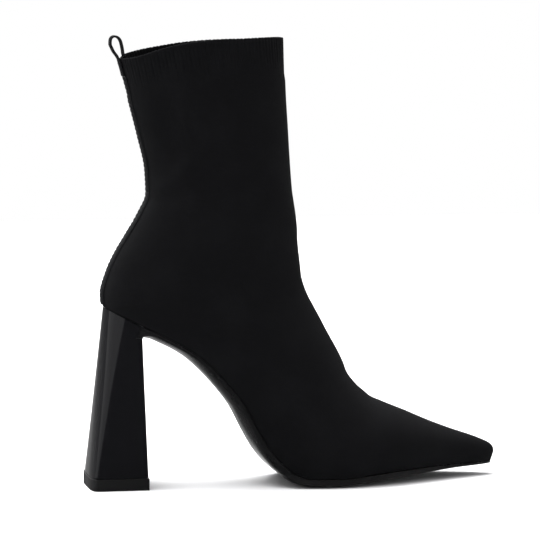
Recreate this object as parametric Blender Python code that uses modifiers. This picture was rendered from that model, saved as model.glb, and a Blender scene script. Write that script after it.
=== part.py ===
"""Sock boot: a pulled-on knit boot with a pointed toe on a high flared block heel, one right boot.

The boot is modelled in the seat frame: x runs from the back of the heel seat to the toe, z is up from the
floor, and y is across, with the outer side of the foot at -y and the inner side at +y. An empty then moves
the whole boot so that its origin is the middle of its footprint.
"""

import math

import bmesh
import bpy
import numpy as np

# Driving dimensions of the last and the upper, in metres
LENGTH = 0.2258
SEAT_HEIGHT = 0.1005
INSTEP_HEIGHT = 0.118
COLLAR_FRONT_HEIGHT = 0.2493
COLLAR_BACK_HEIGHT = 0.237
COLLAR_WIDTH = 0.0566
BALL_WIDTH = 0.0772
TOE_SWING = 0.0045
WALL = 0.0018
CUFF_HEIGHT = 0.020
CUFF_STEP = 0.0005
CUFF_RAMP = 0.0006
COLLAR_BOW = 0.0055
BOW_FADE = 0.075

# Sole, insole and heel
CLEARANCE = 0.0003
SOLE_EDGE = 0.003
SOLE_CROWN = 0.002
LIP_DEPTH = 0.0049
LIP_LENGTH = 0.010
INSOLE_THICKNESS = 0.0022
HEEL_INSET = 0.0008
HEEL_BACK_RAKE = 0.0082
HEEL_TOP_DEPTH = 0.0198
HEEL_BOTTOM_DEPTH = 0.0313
HEEL_BOTTOM_WIDTH = 0.042
HEEL_BOTTOM_CORNER = 0.0045
HEEL_BOTTOM_SQUARENESS = 3.4
HEEL_ARRIS_ANGLE = math.radians(60)
LIFT_THICKNESS = 0.0065
LIFT_PROUD = 0.0005

# Backstay tape and pull loop
TAPE_WIDTH = 0.009
TAPE_THICKNESS = 0.0007
LOOP_THICKNESS = 0.0010
LOOP_WIDTH = 0.006
LOOP_HEIGHT = 0.0123
LOOP_REACH = 0.0054
LOOP_FOOT = 0.0095

# How full the rounded sections are, and how far the upper's wall may turn in over the sole
ROUNDNESS = 2.2
WALL_TUCK = 0.97

# Facets
ROW_SPACING = 0.0115
HALF_COLUMNS = 19
BOW_COLUMNS = 7
LOOP_ROWS = 18
LIP_ROWS = (0, 0.25, 0.55, 1)
HEEL_ROWS = (0, 0.2, 0.45, 0.7, 0.9, 1)
FEATHER_SAMPLES = 800
INSET_SAMPLES = 400
SLOPE_STEP = 0.001
SHARP_ANGLE = math.radians(35)

# Base colours
KNIT_BLACK = (0.010, 0.010, 0.011)
GLOSS_BLACK = (0.006, 0.006, 0.007)
RUBBER_BLACK = (0.014, 0.014, 0.015)
LINING_BLACK = (0.020, 0.019, 0.019)
RIBBON_BLACK = (0.014, 0.014, 0.015)

# Feather line, where upper and sole meet, on the middle plane: x as a share of LENGTH, and height as a share
# of the way from the bed of the forefoot up to the seat
FEATHER_COLUMNS = ("x", "height")
FEATHER = (
    (0.005, 1.000),
    (0.044, 0.953),
    (0.089, 0.902),
    (0.164, 0.815),
    (0.218, 0.739),
    (0.260, 0.656),
    (0.286, 0.593),
    (0.316, 0.509),
    (0.341, 0.428),
    (0.373, 0.284),
    (0.409, 0.145),
    (0.438, 0.070),
    (0.467, 0.019),
    (0.498, 0.000),
    (0.588, 0.000),
    (0.651, 0.010),
    (0.775, 0.025),
    (0.864, 0.029),
    (0.995, 0.024),
)

# Outline of the sole, laid flat: place along the feather line, and half widths as shares of BALL_WIDTH. The
# round ends of the seat and the toe are separate
OUTLINE_COLUMNS = ("along", "outer", "inner")
OUTLINE = (
    (0.00, 0.291, 0.291),
    (0.15, 0.291, 0.278),
    (0.25, 0.289, 0.256),
    (0.35, 0.293, 0.244),
    (0.45, 0.332, 0.272),
    (0.53, 0.402, 0.350),
    (0.60, 0.461, 0.415),
    (0.65, 0.466, 0.443),
    (0.72, 0.420, 0.422),
    (0.80, 0.324, 0.329),
    (0.88, 0.211, 0.212),
    (0.94, 0.133, 0.133),
    (0.97, 0.101, 0.101),
    (1.00, 0.078, 0.078),
)
SEAT_ROUND = 0.13
TOE_ROUND = 0.05

# Thickness of the sole's edge and of its crown, as shares of SOLE_EDGE and SOLE_CROWN, and how far the crown
# goes from the flat section of the tread to the round one of the shank
THICKNESS_COLUMNS = ("along", "edge", "crown", "roundness")
THICKNESS = (
    (0.00, 0.70, 1.55, 1.00),
    (0.12, 0.70, 1.40, 1.00),
    (0.18, 0.70, 1.20, 1.00),
    (0.27, 0.70, 1.55, 1.00),
    (0.40, 0.70, 1.60, 1.00),
    (0.46, 0.85, 1.40, 0.70),
    (0.52, 0.95, 1.00, 0.00),
    (0.55, 1.00, 1.00, 0.00),
    (0.66, 1.00, 1.00, 0.00),
    (0.80, 0.95, 0.80, 0.30),
    (0.92, 0.55, 0.50, 0.60),
    (1.00, 0.30, 0.20, 1.00),
)

# The crown's two sections, from the middle of the sole to its edge, as shares of its full depth
CROWN_COLUMNS = ("across", "flat", "round")
CROWN = (
    (0.00, 1.00, 1.00),
    (0.36, 1.00, 0.88),
    (0.62, 1.00, 0.62),
    (0.86, 0.60, 0.26),
    (1.00, 0.00, 0.00),
)

# Rise of the collar's rim over a straight line from its front to its back, as shares of COLLAR_BOW
RIM_COLUMNS = ("share", "outer", "inner")
RIM = (
    (0.00, 0.00, 0.00),
    (0.05, 0.20, 0.05),
    (0.15, 0.42, 0.15),
    (0.30, 0.67, 0.42),
    (0.45, 0.93, 0.64),
    (0.60, 1.00, 0.73),
    (0.70, 0.94, 0.70),
    (0.80, 0.71, 0.66),
    (0.90, 0.34, 0.56),
    (0.96, 0.18, 0.44),
    (1.00, 0.15, 0.15),
)

# The pull loop's free stretch: reach behind or in front of the rim as a share of LOOP_REACH, rise as a share
# of LOOP_HEIGHT
LOOP_COLUMNS = ("reach", "rise")
LOOP = (
    (-0.33, 0.12),
    (-0.63, 0.30),
    (-0.84, 0.48),
    (-0.99, 0.66),
    (-0.96, 0.84),
    (-0.83, 0.95),
    (-0.55, 1.00),
    (-0.28, 0.97),
    (-0.06, 0.89),
    (0.10, 0.75),
    (0.20, 0.57),
    (0.27, 0.39),
    (0.32, 0.21),
)

# Rows of the shaft, from the collar to the seat: x as shares of LENGTH. A rise of 1 is the bend of the
# instep in front and the seat at the back, and 2 is the collar. Half widths are shares of COLLAR_WIDTH
SHAFT_COLUMNS = ("front_x", "front_rise", "back_x", "back_rise", "half_width", "widest")
SHAFT = (
    (0.4565, 2.000, 0.0465, 2.000, 0.500, 0.50),
    (0.4590, 1.820, 0.0740, 1.835, 0.503, 0.50),
    (0.4640, 1.652, 0.0967, 1.692, 0.505, 0.50),
    (0.4705, 1.479, 0.1150, 1.553, 0.502, 0.50),
    (0.4757, 1.360, 0.1175, 1.458, 0.498, 0.50),
    (0.4840, 1.265, 0.0965, 1.374, 0.497, 0.51),
    (0.4905, 1.184, 0.0670, 1.293, 0.497, 0.53),
    (0.4942, 1.111, 0.0365, 1.209, 0.497, 0.55),
    (0.4950, 1.050, 0.0138, 1.125, 0.495, 0.57),
    (0.4982, 1.000, 0.0026, 1.051, 0.490, 0.59),
)

# Rows of the foot, from the seat to the toe: the top line's x and height as shares of LENGTH and
# INSTEP_HEIGHT, the place along the feather line, half widths as shares of BALL_WIDTH, and the sideways swing
# of the toe
FOOT_COLUMNS = ("front_x", "front_rise", "along", "outer", "inner", "widest", "swing")
FOOT = (
    (0.5018, 0.968, 0.000, 0.3590, 0.3590, 0.60, 0.00),
    (0.5053, 0.946, 0.006, 0.3590, 0.3590, 0.60, 0.00),
    (0.5102, 0.920, 0.020, 0.3590, 0.3590, 0.60, 0.00),
    (0.5180, 0.886, 0.045, 0.3600, 0.3590, 0.60, 0.00),
    (0.5290, 0.848, 0.090, 0.3630, 0.3600, 0.60, 0.00),
    (0.5456, 0.790, 0.150, 0.3705, 0.3627, 0.60, 0.00),
    (0.5660, 0.715, 0.225, 0.3834, 0.3666, 0.60, 0.00),
    (0.5868, 0.643, 0.300, 0.3990, 0.3731, 0.61, 0.00),
    (0.6067, 0.568, 0.375, 0.4171, 0.3834, 0.62, 0.00),
    (0.6253, 0.498, 0.450, 0.4430, 0.4016, 0.64, 0.02),
    (0.6466, 0.446, 0.515, 0.4767, 0.4275, 0.66, 0.05),
    (0.6754, 0.400, 0.575, 0.5000, 0.4560, 0.68, 0.10),
    (0.7152, 0.366, 0.635, 0.4974, 0.4767, 0.71, 0.20),
    (0.7671, 0.325, 0.700, 0.4482, 0.4534, 0.74, 0.34),
    (0.8282, 0.272, 0.780, 0.3549, 0.3653, 0.75, 0.54),
    (0.8915, 0.225, 0.860, 0.2435, 0.2487, 0.75, 0.74),
    (0.9411, 0.192, 0.920, 0.1632, 0.1632, 0.74, 0.87),
    (0.9726, 0.168, 0.960, 0.1140, 0.1140, 0.72, 0.93),
    (0.9940, 0.146, 0.985, 0.0933, 0.0933, 0.70, 0.97),
    (1.0020, 0.124, 0.997, 0.0829, 0.0829, 0.68, 0.99),
    (1.0035, 0.108, 1.000, 0.0777, 0.0777, 0.66, 1.00),
)

OUTER, INNER = -1, 1
SIDE_COLUMN = {OUTER: "outer", INNER: "inner"}


def columns_of(names, table):
    return dict(zip(names, np.array(table).T))


def through(knots, values, at):
    """A smooth curve through the values that never overshoots them, read at one or more places."""
    knots, values = np.asarray(knots, float), np.asarray(values, float)
    span = np.diff(knots)
    rate = np.diff(values) / span
    slope = np.zeros_like(values)
    slope[0], slope[-1] = rate[0], rate[-1]
    before, after = 2 * span[1:] + span[:-1], span[1:] + 2 * span[:-1]
    same_way = rate[:-1] * rate[1:] > 0
    left = np.where(same_way, rate[:-1], 1)
    right = np.where(same_way, rate[1:], 1)
    slope[1:-1] = np.where(same_way, (before + after) / (before / left + after / right), 0)
    at = np.clip(at, knots[0], knots[-1])
    k = np.clip(np.searchsorted(knots, at, side="right") - 1, 0, len(knots) - 2)
    h = span[k]
    t = (at - knots[k]) / h
    return (
        values[k] * (1 + 2 * t) * (1 - t) ** 2
        + slope[k] * h * t * (1 - t) ** 2
        + values[k + 1] * t * t * (3 - 2 * t)
        + slope[k + 1] * h * t * t * (t - 1)
    )


def rounding(share):
    """0 at the very end of an outline, 1 where its round end is over."""
    return (1 - (1 - np.clip(share, 0, 1)) ** ROUNDNESS) ** (1 / ROUNDNESS)


class SoleBed:
    """The curved surface on which upper, sole, insole and heel meet, as a line and an outline."""

    def __init__(self):
        line = columns_of(FEATHER_COLUMNS, FEATHER)
        bed = CLEARANCE + SOLE_EDGE + SOLE_CROWN
        self.x = np.linspace(line["x"][0], line["x"][-1], FEATHER_SAMPLES) * LENGTH
        self.z = bed + (SEAT_HEIGHT - bed) * through(line["x"] * LENGTH, line["height"], self.x)
        steps = np.hypot(np.diff(self.x), np.diff(self.z))
        self.along = np.concatenate([[0], np.cumsum(steps)])
        self.length = self.along[-1]
        self.outline = columns_of(OUTLINE_COLUMNS, OUTLINE)
        self.foot = columns_of(FOOT_COLUMNS, FOOT)
        self.slope = np.gradient(self.z, self.x)

    def at_x(self, x):
        """The place along the line that lies at x."""
        return float(np.interp(x, self.x, self.along))

    def point(self, along, y=0.0, height=0.0):
        """A point of the boot: along the line, across it, and above it at a right angle."""
        slope = np.interp(along, self.along, self.slope)
        size = math.hypot(1, slope)
        x = np.interp(along, self.along, self.x) - slope / size * height
        z = np.interp(along, self.along, self.z) + height / size
        return (float(x), float(y), float(z))

    def swing(self, along):
        return TOE_SWING * through(self.foot["along"], self.foot["swing"], along / self.length)

    def toe_round(self, along):
        return rounding((1 - along / self.length) / TOE_ROUND)

    def blunt_half_width(self, side, along):
        """The outline's half width without the round end of the toe."""
        share = along / self.length
        width = BALL_WIDTH * through(self.outline["along"], self.outline[SIDE_COLUMN[side]], share)
        return width * rounding(share / SEAT_ROUND)

    def half_width(self, side, along, inset=0.0):
        """The outline's half width, or that of the outline drawn in by an inset all round."""
        if not inset:
            return self.blunt_half_width(side, along) * self.toe_round(along)
        share = 0.5 - 0.5 * np.cos(np.linspace(0, math.pi, INSET_SAMPLES))
        flat = np.stack([share * self.length, self.half_width(side, share * self.length)])
        run = np.gradient(flat, axis=1)
        run /= np.linalg.norm(run, axis=0)
        drawn = flat + inset * np.stack([run[1], -run[0]])
        inside = drawn[1] > 0
        return np.interp(along, drawn[0][inside], drawn[1][inside], 0, 0)


class Upper:
    """The outer face of the upper, as a fan of rows from the collar to the toe.

    Each row runs from a front point on the top line to a low point, which is on the line of the back as far
    as the seat, and then on the feather line. A place on the upper is a run, measured from the collar along
    the fan, a share of the way from front to low point, and a side.
    """

    def __init__(self, bed):
        self.bed = bed
        shaft, foot = columns_of(SHAFT_COLUMNS, SHAFT), columns_of(FOOT_COLUMNS, FOOT)
        rise = np.concatenate([shaft["front_rise"], foot["front_rise"]])
        above = np.clip(rise - 1, 0, 1)
        height = np.minimum(rise, 1) * INSTEP_HEIGHT + above * (COLLAR_FRONT_HEIGHT - INSTEP_HEIGHT)
        front_x = np.concatenate([shaft["front_x"], foot["front_x"]]) * LENGTH
        self.front = np.stack([front_x, height])
        seat = bed.point(0)
        back_height = seat[2] + (shaft["back_rise"] - 1) * (COLLAR_BACK_HEIGHT - seat[2])
        self.back = np.stack(
            [np.append(shaft["back_x"] * LENGTH, seat[0]), np.append(back_height, seat[2])]
        )
        feather = np.array([bed.point(share * bed.length) for share in foot["along"]])[:, ::2].T
        low = np.concatenate([self.back[:, :-1], feather], axis=1)
        step = [np.hypot(*np.diff(line, axis=1)) for line in (self.front, low)]
        self.runs = np.concatenate([[0], np.cumsum((step[0] + step[1]) / 2)])
        self.seat_run = self.runs[len(SHAFT)]
        self.along = foot["along"] * bed.length
        shaft_half = shaft["half_width"] * COLLAR_WIDTH
        self.half = {
            side: np.concatenate([shaft_half, foot[SIDE_COLUMN[side]] * BALL_WIDTH])
            for side in (OUTER, INNER)
        }
        self.widest = np.concatenate([shaft["widest"], foot["widest"]])
        self.rim = columns_of(RIM_COLUMNS, RIM)

    def along_at(self, run):
        """The place along the feather line where a run ends, 0 on the shaft."""
        return float(through(self.runs[len(SHAFT) :], self.along, run))

    def run_at_back(self, height):
        """The run whose low point is at a height on the line of the back."""
        return float(np.interp(-height, -self.back[1], self.runs[: len(SHAFT) + 1]))

    def row(self, run, side):
        """Front point, low point, half width, widest share, low half width as a share, swing of one row."""
        inset = CUFF_STEP * np.clip((CUFF_HEIGHT + CUFF_RAMP - run) / CUFF_RAMP, 0, 1)
        front = np.array([through(self.runs, values, run) for values in self.front])
        half = float(through(self.runs, self.half[side], run)) - inset
        widest = float(through(self.runs, self.widest, run))
        front[0] -= inset
        if run < self.seat_run:
            back_runs = self.runs[: len(SHAFT) + 1]
            low = np.array([through(back_runs, values, run) for values in self.back])
            low[0] += inset
            return front, low, half, widest, 0.0, 0.0
        along = self.along_at(run)
        low = np.array(self.bed.point(along))[::2]
        end = min(self.bed.blunt_half_width(side, along) / half, WALL_TUCK)
        return front, low, half * self.bed.toe_round(along), widest, end, self.bed.swing(along)

    def point(self, run, share, side):
        front, low, half, widest, end, swing = self.row(run, side)
        top = rounding(share / widest)
        past = np.clip((share - widest) / (1 - widest), 0, 1)
        bottom = (1 - (1 - end**ROUNDNESS) * past**ROUNDNESS) ** (1 / ROUNDNESS)
        x, z = front + (low - front) * share
        bow = COLLAR_BOW * through(self.rim["share"], self.rim[SIDE_COLUMN[side]], share)
        z += bow * (1 - min(max(run - CUFF_HEIGHT, 0) / BOW_FADE, 1)) ** 2
        return np.array([x, swing + side * half * top * bottom, z])

    def back_point(self, run, y, lift=0.0):
        """A point over the line of the back, y to the side of it, lifted off the upper or sunk in."""
        side = OUTER if y < 0 else INNER

        def on_face(run, y):
            _, _, half, widest, _, _ = self.row(run, side)
            past = (1 - min(abs(y) / half, 1) ** ROUNDNESS) ** (1 / ROUNDNESS)
            return self.point(run, widest + (1 - widest) * past, side)

        near, far = max(run - SLOPE_STEP, 0), min(run + SLOPE_STEP, self.seat_run - 1e-6)
        down = on_face(far, y) - on_face(near, y)
        out = on_face(run, abs(y) * 1.1 + 1e-6) - on_face(run, abs(y) * 0.9)
        slant = math.copysign(abs(out[0] / out[1]), y) if y else 0
        normal = np.array([-down[2], slant * down[2], down[0]])
        normal *= -math.copysign(1, normal[0]) / np.linalg.norm(normal)
        return on_face(run, y) + lift * normal


def fan_runs(upper):
    """The runs at which rows are laid: at each row of the tables, between them where they are far apart, and
    on both sides of the cuff's step."""
    runs = [0.0]
    for start, end in zip(upper.runs, upper.runs[1:]):
        parts = max(1, round((end - start) / ROW_SPACING))
        runs += list(np.linspace(start, end, parts + 1)[1:])
    step = [CUFF_HEIGHT, CUFF_HEIGHT + CUFF_RAMP]
    apart = [run for run in runs if all(abs(run - edge) > ROW_SPACING / 4 for edge in step)]
    return sorted(apart + step)


def mesh_object(name, rows, closed_rows, collection):
    """A mesh from rows of points, with points that fall together merged. Closed rows make a solid. Open rows
    make a surface, whose front is on the right of someone who goes along a row with the first row above the
    second."""
    mesh = bmesh.new()
    grid = [[mesh.verts.new(point) for point in row] for row in rows]
    count = len(rows[0])
    for upper_row, lower_row in zip(grid, grid[1:]):
        for k in range(count if closed_rows else count - 1):
            n = (k + 1) % count
            mesh.faces.new((upper_row[k], lower_row[k], lower_row[n], upper_row[n]))
    if closed_rows:
        for row in (grid[0], grid[-1]):
            cap_row(mesh, row)
    bmesh.ops.remove_doubles(mesh, verts=mesh.verts, dist=1e-6)
    bmesh.ops.dissolve_degenerate(mesh, edges=mesh.edges, dist=1e-7)
    if closed_rows:
        bmesh.ops.recalc_face_normals(mesh, faces=mesh.faces)
    data = bpy.data.meshes.new(name)
    mesh.to_mesh(data)
    mesh.free()
    made = bpy.data.objects.new(name, data)
    collection.objects.link(made)
    data.shade_smooth()
    data.set_sharp_from_angle(angle=SHARP_ANGLE)
    return made


def cap_row(mesh, row):
    """Closes a ring of points with strips from side to side. The ring runs there and back in equal halves."""
    half = len(row) // 2
    for k in range(half - 1):
        corners = (row[k], row[k + 1], row[-2 - k], row[-1 - k])
        mesh.faces.new(corners)


def solidify(made, thickness, offset):
    shell = made.modifiers.new("Wall", "SOLIDIFY")
    shell.thickness = thickness
    shell.offset = offset
    shell.use_even_offset = True
    shell.use_quality_normals = True


def build_upper(upper, runs, collection):
    """The knit sock: one hollow wall, open at the collar and underneath, with the cuff as a step in it."""
    shares = [0.5 - 0.5 * math.cos(math.pi * k / HALF_COLUMNS) for k in range(HALF_COLUMNS + 1)]
    rows = [
        [upper.point(run, share, OUTER) for share in reversed(shares)]
        + [upper.point(run, share, INNER) for share in shares[1:]]
        for run in runs
    ]
    made = mesh_object("upper", rows, False, collection)
    solidify(made, WALL, -1)
    return made


def sole_stations(upper, runs):
    """Places along the feather line that match the rows of the upper."""
    return [upper.along_at(run) for run in runs if run >= upper.seat_run - 1e-9]


def heel_top(bed, x):
    """Height of the heel's top, under the seat, at x."""
    return bed.point(bed.at_x(x), 0, -CLEARANCE)[2]


def breast_x(bed, z):
    """The heel's flat front face at a height."""
    low, high = LIFT_THICKNESS + CLEARANCE, heel_top(bed, HEEL_TOP_DEPTH)
    foot = HEEL_BOTTOM_DEPTH - HEEL_BACK_RAKE
    return foot + (HEEL_TOP_DEPTH - foot) * (z - low) / (high - low)


def build_outsole(bed, stations, collection):
    """The sole from the heel's front face to the toe: its edge, a crown that is flat at the tread and round
    at the shank, and a lip that thickens it against the heel."""
    thickness = columns_of(THICKNESS_COLUMNS, THICKNESS)
    section = columns_of(CROWN_COLUMNS, CROWN)
    start = bed.at_x(HEEL_TOP_DEPTH)
    lip = [start + share * LIP_LENGTH for share in LIP_ROWS]
    places = lip + [along for along in stations if along > lip[-1] + LIP_LENGTH / 4]
    across = np.concatenate([-section["across"][:0:-1], section["across"]])
    flat, domed = (np.concatenate([section[name][:0:-1], section[name]]) for name in ("flat", "round"))
    rows = []
    for along in places:
        edge, crown, roundness = (
            float(through(thickness["along"], thickness[name], along / bed.length))
            for name in ("edge", "crown", "roundness")
        )
        left = max(1 - (along - start) / LIP_LENGTH, 0)
        depth = CLEARANCE + SOLE_EDGE * edge + LIP_DEPTH * left**2
        taper = bed.toe_round(along)
        middle = bed.swing(along)
        half = [bed.half_width(side, along) for side in (OUTER, INNER)]
        y = [middle + share * half[int(share > 0)] for share in across]
        bulge = SOLE_CROWN * crown * taper * (flat + (domed - flat) * roundness)
        bottom = [bed.point(along, side, -depth - fall) for side, fall in zip(y, bulge)]
        top = [bed.point(along, side, -CLEARANCE) for side in y]
        if along == start:
            bottom, top = (
                [(breast_x(bed, z) + CLEARANCE, y, z) for _, y, z in line] for line in (bottom, top)
            )
        rows.append(bottom + top[::-1])
    return mesh_object("outsole", rows, True, collection)


def build_insole(bed, stations, collection):
    """The sock lining's board inside, drawn in from the outline by the wall."""
    inset = WALL + CLEARANCE
    ends = (inset, bed.length - inset)
    places = [ends[0]] + [a for a in stations if ends[0] + inset / 4 < a < ends[1] - inset / 4] + [ends[1]]
    rows = []
    for along in places:
        half = [bed.half_width(side, along, inset) for side in (OUTER, INNER)]
        middle = bed.swing(along)
        y = [middle - half[0], middle, middle + half[1]]
        low = [bed.point(along, side, 0) for side in y]
        high = [bed.point(along, side, INSOLE_THICKNESS) for side in y]
        rows.append(low + high[::-1])
    return mesh_object("insole", rows, True, collection)


def heel_outline(bed, share):
    """Half of the heel's section from the middle of its back to its front face, at a share of the way from
    its bottom to its top: a bow that ends at an arris, then a flat side."""
    seat_half = bed.half_width(OUTER, bed.length * SEAT_ROUND) - HEEL_INSET
    power = 2 / HEEL_BOTTOM_SQUARENESS
    top, bottom = [], []
    for turn in np.linspace(0, 1, BOW_COLUMNS):
        swept = HEEL_ARRIS_ANGLE * turn
        top.append((bed.x[0] + seat_half * (1 - math.cos(swept)), seat_half * math.sin(swept)))
        swept = math.pi / 2 * turn
        corner = HEEL_BOTTOM_CORNER * (1 - math.cos(swept) ** power) - HEEL_BACK_RAKE
        bottom.append((corner, HEEL_BOTTOM_WIDTH / 2 * math.sin(swept) ** power))
    top.append((HEEL_TOP_DEPTH, bed.half_width(OUTER, bed.at_x(HEEL_TOP_DEPTH)) - HEEL_INSET))
    bottom.append((HEEL_BOTTOM_DEPTH - HEEL_BACK_RAKE, HEEL_BOTTOM_WIDTH / 2))
    return [
        (low[0] + (high[0] - low[0]) * share, low[1] + (high[1] - low[1]) * share)
        for low, high in zip(bottom, top)
    ]


def ring(half):
    """A closed ring from half of an outline: along one side and back along the other."""
    return [(x, -y) for x, y in half] + [(x, y) for x, y in reversed(half)]


def build_heel(bed, collection):
    """The flared block under the seat."""
    floor = LIFT_THICKNESS + CLEARANCE
    rows = []
    for level in HEEL_ROWS:
        row = []
        for x, y in ring(heel_outline(bed, level)):
            row.append((x, y, floor + (heel_top(bed, x) - floor) * level))
        rows.append(row)
    return mesh_object("heel", rows, True, collection)


def build_top_lift(bed, collection):
    """The heel's tip, a little proud of the block all round."""
    outline = np.array(ring(heel_outline(bed, 0)))
    middle = np.array([HEEL_BOTTOM_DEPTH / 2 - HEEL_BACK_RAKE, 0])
    reach = np.array([HEEL_BOTTOM_DEPTH, HEEL_BOTTOM_WIDTH]) / 2
    proud = middle + (outline - middle) * (1 + LIFT_PROUD / reach)
    rows = [[(x, y, z) for x, y in proud] for z in (0, LIFT_THICKNESS)]
    return mesh_object("top_lift", rows, True, collection)


def tape_offsets(width):
    return [width * share for share in (-0.5, -0.25, 0, 0.25, 0.5)]


def loop_foot_run(upper):
    """The run at which the loop's feet end below the collar."""
    return upper.run_at_back(COLLAR_BACK_HEIGHT - LOOP_FOOT)


def build_backstay(upper, runs, collection):
    """The tape down the back, from the foot of the loop to the seat."""
    start = loop_foot_run(upper) + CLEARANCE
    end = upper.seat_run - CLEARANCE
    places = [start] + [run for run in runs if start + CUFF_RAMP < run < end - CUFF_RAMP] + [end]
    offsets = tape_offsets(TAPE_WIDTH)[::-1]
    rows = [[upper.back_point(run, y, CLEARANCE) for y in offsets] for run in places]
    made = mesh_object("backstay", rows, False, collection)
    solidify(made, TAPE_THICKNESS, 1)
    return made


def build_pull_loop(upper, collection):
    """A ribbon that comes up outside the wall, turns over above the collar and goes down inside it."""
    offsets = tape_offsets(LOOP_WIDTH)
    foot = loop_foot_run(upper)
    rim = upper.back_point(0, 0)
    bow = [upper.back_point(0, y)[0] - rim[0] for y in offsets]
    outer_lifts = (CLEARANCE, CLEARANCE + LOOP_THICKNESS)
    inner_lifts = (-WALL - CLEARANCE, -WALL - CLEARANCE - LOOP_THICKNESS)

    def foot_rows(lifts, shares):
        return [
            [upper.back_point(foot * share, y, lifts[0]) for y in offsets]
            + [upper.back_point(foot * share, y, lifts[1]) for y in reversed(offsets)]
            for share in shares
        ]

    ends = [upper.back_point(0, 0, sum(lifts) / 2)[::2] for lifts in (outer_lifts, inner_lifts)]
    free = [(rim[0] + reach * LOOP_REACH, rim[2] + rise * LOOP_HEIGHT) for reach, rise in LOOP]
    path = np.array([ends[0], *free, ends[1]])
    runs = np.concatenate([[0], np.cumsum(np.hypot(*np.diff(path, axis=0).T))])
    rows = foot_rows(outer_lifts, (1, 0.5, 0))
    for place in np.linspace(runs[0], runs[-1], LOOP_ROWS)[1:-1]:
        x, z = (through(runs, line, place) for line in path.T)
        near = np.array([place - LOOP_THICKNESS / 4, place + LOOP_THICKNESS / 4])
        ahead_x, ahead_z = (np.diff(through(runs, line, near))[0] for line in path.T)
        to_edge = LOOP_THICKNESS / 2 / math.hypot(ahead_x, ahead_z)
        bowed = max(1 - (z - rim[2]) / LOOP_HEIGHT, 0)
        across = list(zip(offsets, bow))
        row = []
        for turn, edge_points in ((to_edge, across), (-to_edge, across[::-1])):
            row += [(x + turn * ahead_z + lean * bowed, y, z - turn * ahead_x) for y, lean in edge_points]
        rows.append(row)
    rows += foot_rows(inner_lifts, (0, 0.5, 1))
    return mesh_object("pull_loop", rows, True, collection)


def finish(made, colour, roughness, coat=0.0):
    """A plain Principled material of the piece's own colour."""
    material = bpy.data.materials.new(made.name + "_finish")
    material.use_nodes = True
    shader = material.node_tree.nodes["Principled BSDF"]
    shader.inputs["Base Color"].default_value = (*colour, 1)
    shader.inputs["Roughness"].default_value = roughness
    shader.inputs["Metallic"].default_value = 0.0
    shader.inputs["Coat Weight"].default_value = coat
    made.data.materials.append(material)


def centre(pieces, collection):
    """Parents the pieces to an empty, which puts the middle of their footprint at the origin."""
    bpy.context.view_layer.update()
    graph = bpy.context.evaluated_depsgraph_get()
    corners = np.array([corner for piece in pieces for corner in piece.evaluated_get(graph).bound_box])
    middle = (corners.min(axis=0) + corners.max(axis=0)) / 2
    boot = bpy.data.objects.new("boot_frame", None)
    collection.objects.link(boot)
    boot.location = (-middle[0], -middle[1], 0)
    for piece in pieces:
        piece.parent = boot


def main():
    for old in list(bpy.data.objects):
        bpy.data.objects.remove(old, do_unlink=True)
    collection = bpy.data.collections.new("sock_boot")
    bpy.context.scene.collection.children.link(collection)
    bed = SoleBed()
    upper = Upper(bed)
    runs = fan_runs(upper)
    stations = sole_stations(upper, runs)
    pieces = []
    for made, colour, roughness, coat in (
        (build_upper(upper, runs, collection), KNIT_BLACK, 0.95, 0.0),
        (build_insole(bed, stations, collection), LINING_BLACK, 0.8, 0.0),
        (build_outsole(bed, stations, collection), RUBBER_BLACK, 0.5, 0.0),
        (build_heel(bed, collection), GLOSS_BLACK, 0.12, 0.5),
        (build_top_lift(bed, collection), RUBBER_BLACK, 0.6, 0.0),
        (build_backstay(upper, runs, collection), RIBBON_BLACK, 0.85, 0.0),
        (build_pull_loop(upper, collection), RIBBON_BLACK, 0.8, 0.0),
    ):
        finish(made, colour, roughness, coat)
        pieces.append(made)
    centre(pieces, collection)


main()
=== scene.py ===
"""Sock boot: the looks of a black knit boot with a ribbed cuff on a high gloss block heel.

The shapes are worked out in the seat frame: x runs from the back of the heel seat to the toe, z is up from
the floor, and y is across, with the outer side of the foot at -y. SHIFT takes them to the part's place.
"""

import math

import bmesh
import bpy
import numpy as np
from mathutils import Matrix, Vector, noise


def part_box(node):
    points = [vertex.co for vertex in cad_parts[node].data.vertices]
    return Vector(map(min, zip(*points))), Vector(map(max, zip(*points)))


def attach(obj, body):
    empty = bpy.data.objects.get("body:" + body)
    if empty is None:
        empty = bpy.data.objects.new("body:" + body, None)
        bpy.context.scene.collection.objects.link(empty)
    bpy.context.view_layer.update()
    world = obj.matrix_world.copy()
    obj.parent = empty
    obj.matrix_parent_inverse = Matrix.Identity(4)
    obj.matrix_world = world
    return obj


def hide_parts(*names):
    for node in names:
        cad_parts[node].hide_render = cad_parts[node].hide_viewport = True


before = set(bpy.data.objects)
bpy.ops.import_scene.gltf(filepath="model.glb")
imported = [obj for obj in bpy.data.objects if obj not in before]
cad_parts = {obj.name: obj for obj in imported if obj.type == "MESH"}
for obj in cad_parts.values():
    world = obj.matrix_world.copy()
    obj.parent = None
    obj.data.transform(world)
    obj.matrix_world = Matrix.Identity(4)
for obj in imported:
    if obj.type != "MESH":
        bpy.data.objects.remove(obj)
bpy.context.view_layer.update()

# Driving dimensions of the last and the upper, in metres
LENGTH = 0.2258
SEAT_HEIGHT = 0.1005
INSTEP_HEIGHT = 0.118
COLLAR_FRONT_HEIGHT = 0.2493
COLLAR_BACK_HEIGHT = 0.237
COLLAR_WIDTH = 0.0566
BALL_WIDTH = 0.0772
TOE_SWING = 0.0045
WALL = 0.0018
CUFF_HEIGHT = 0.020
CUFF_STEP = 0.0005
COLLAR_BOW = 0.0055
BOW_FADE = 0.075
ROUNDNESS = 2.2
WALL_TUCK = 0.97

# The cuff's step is spread over this length, more than in the solids, because it hardly shows on the knit
CUFF_RAMP = 0.004

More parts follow.
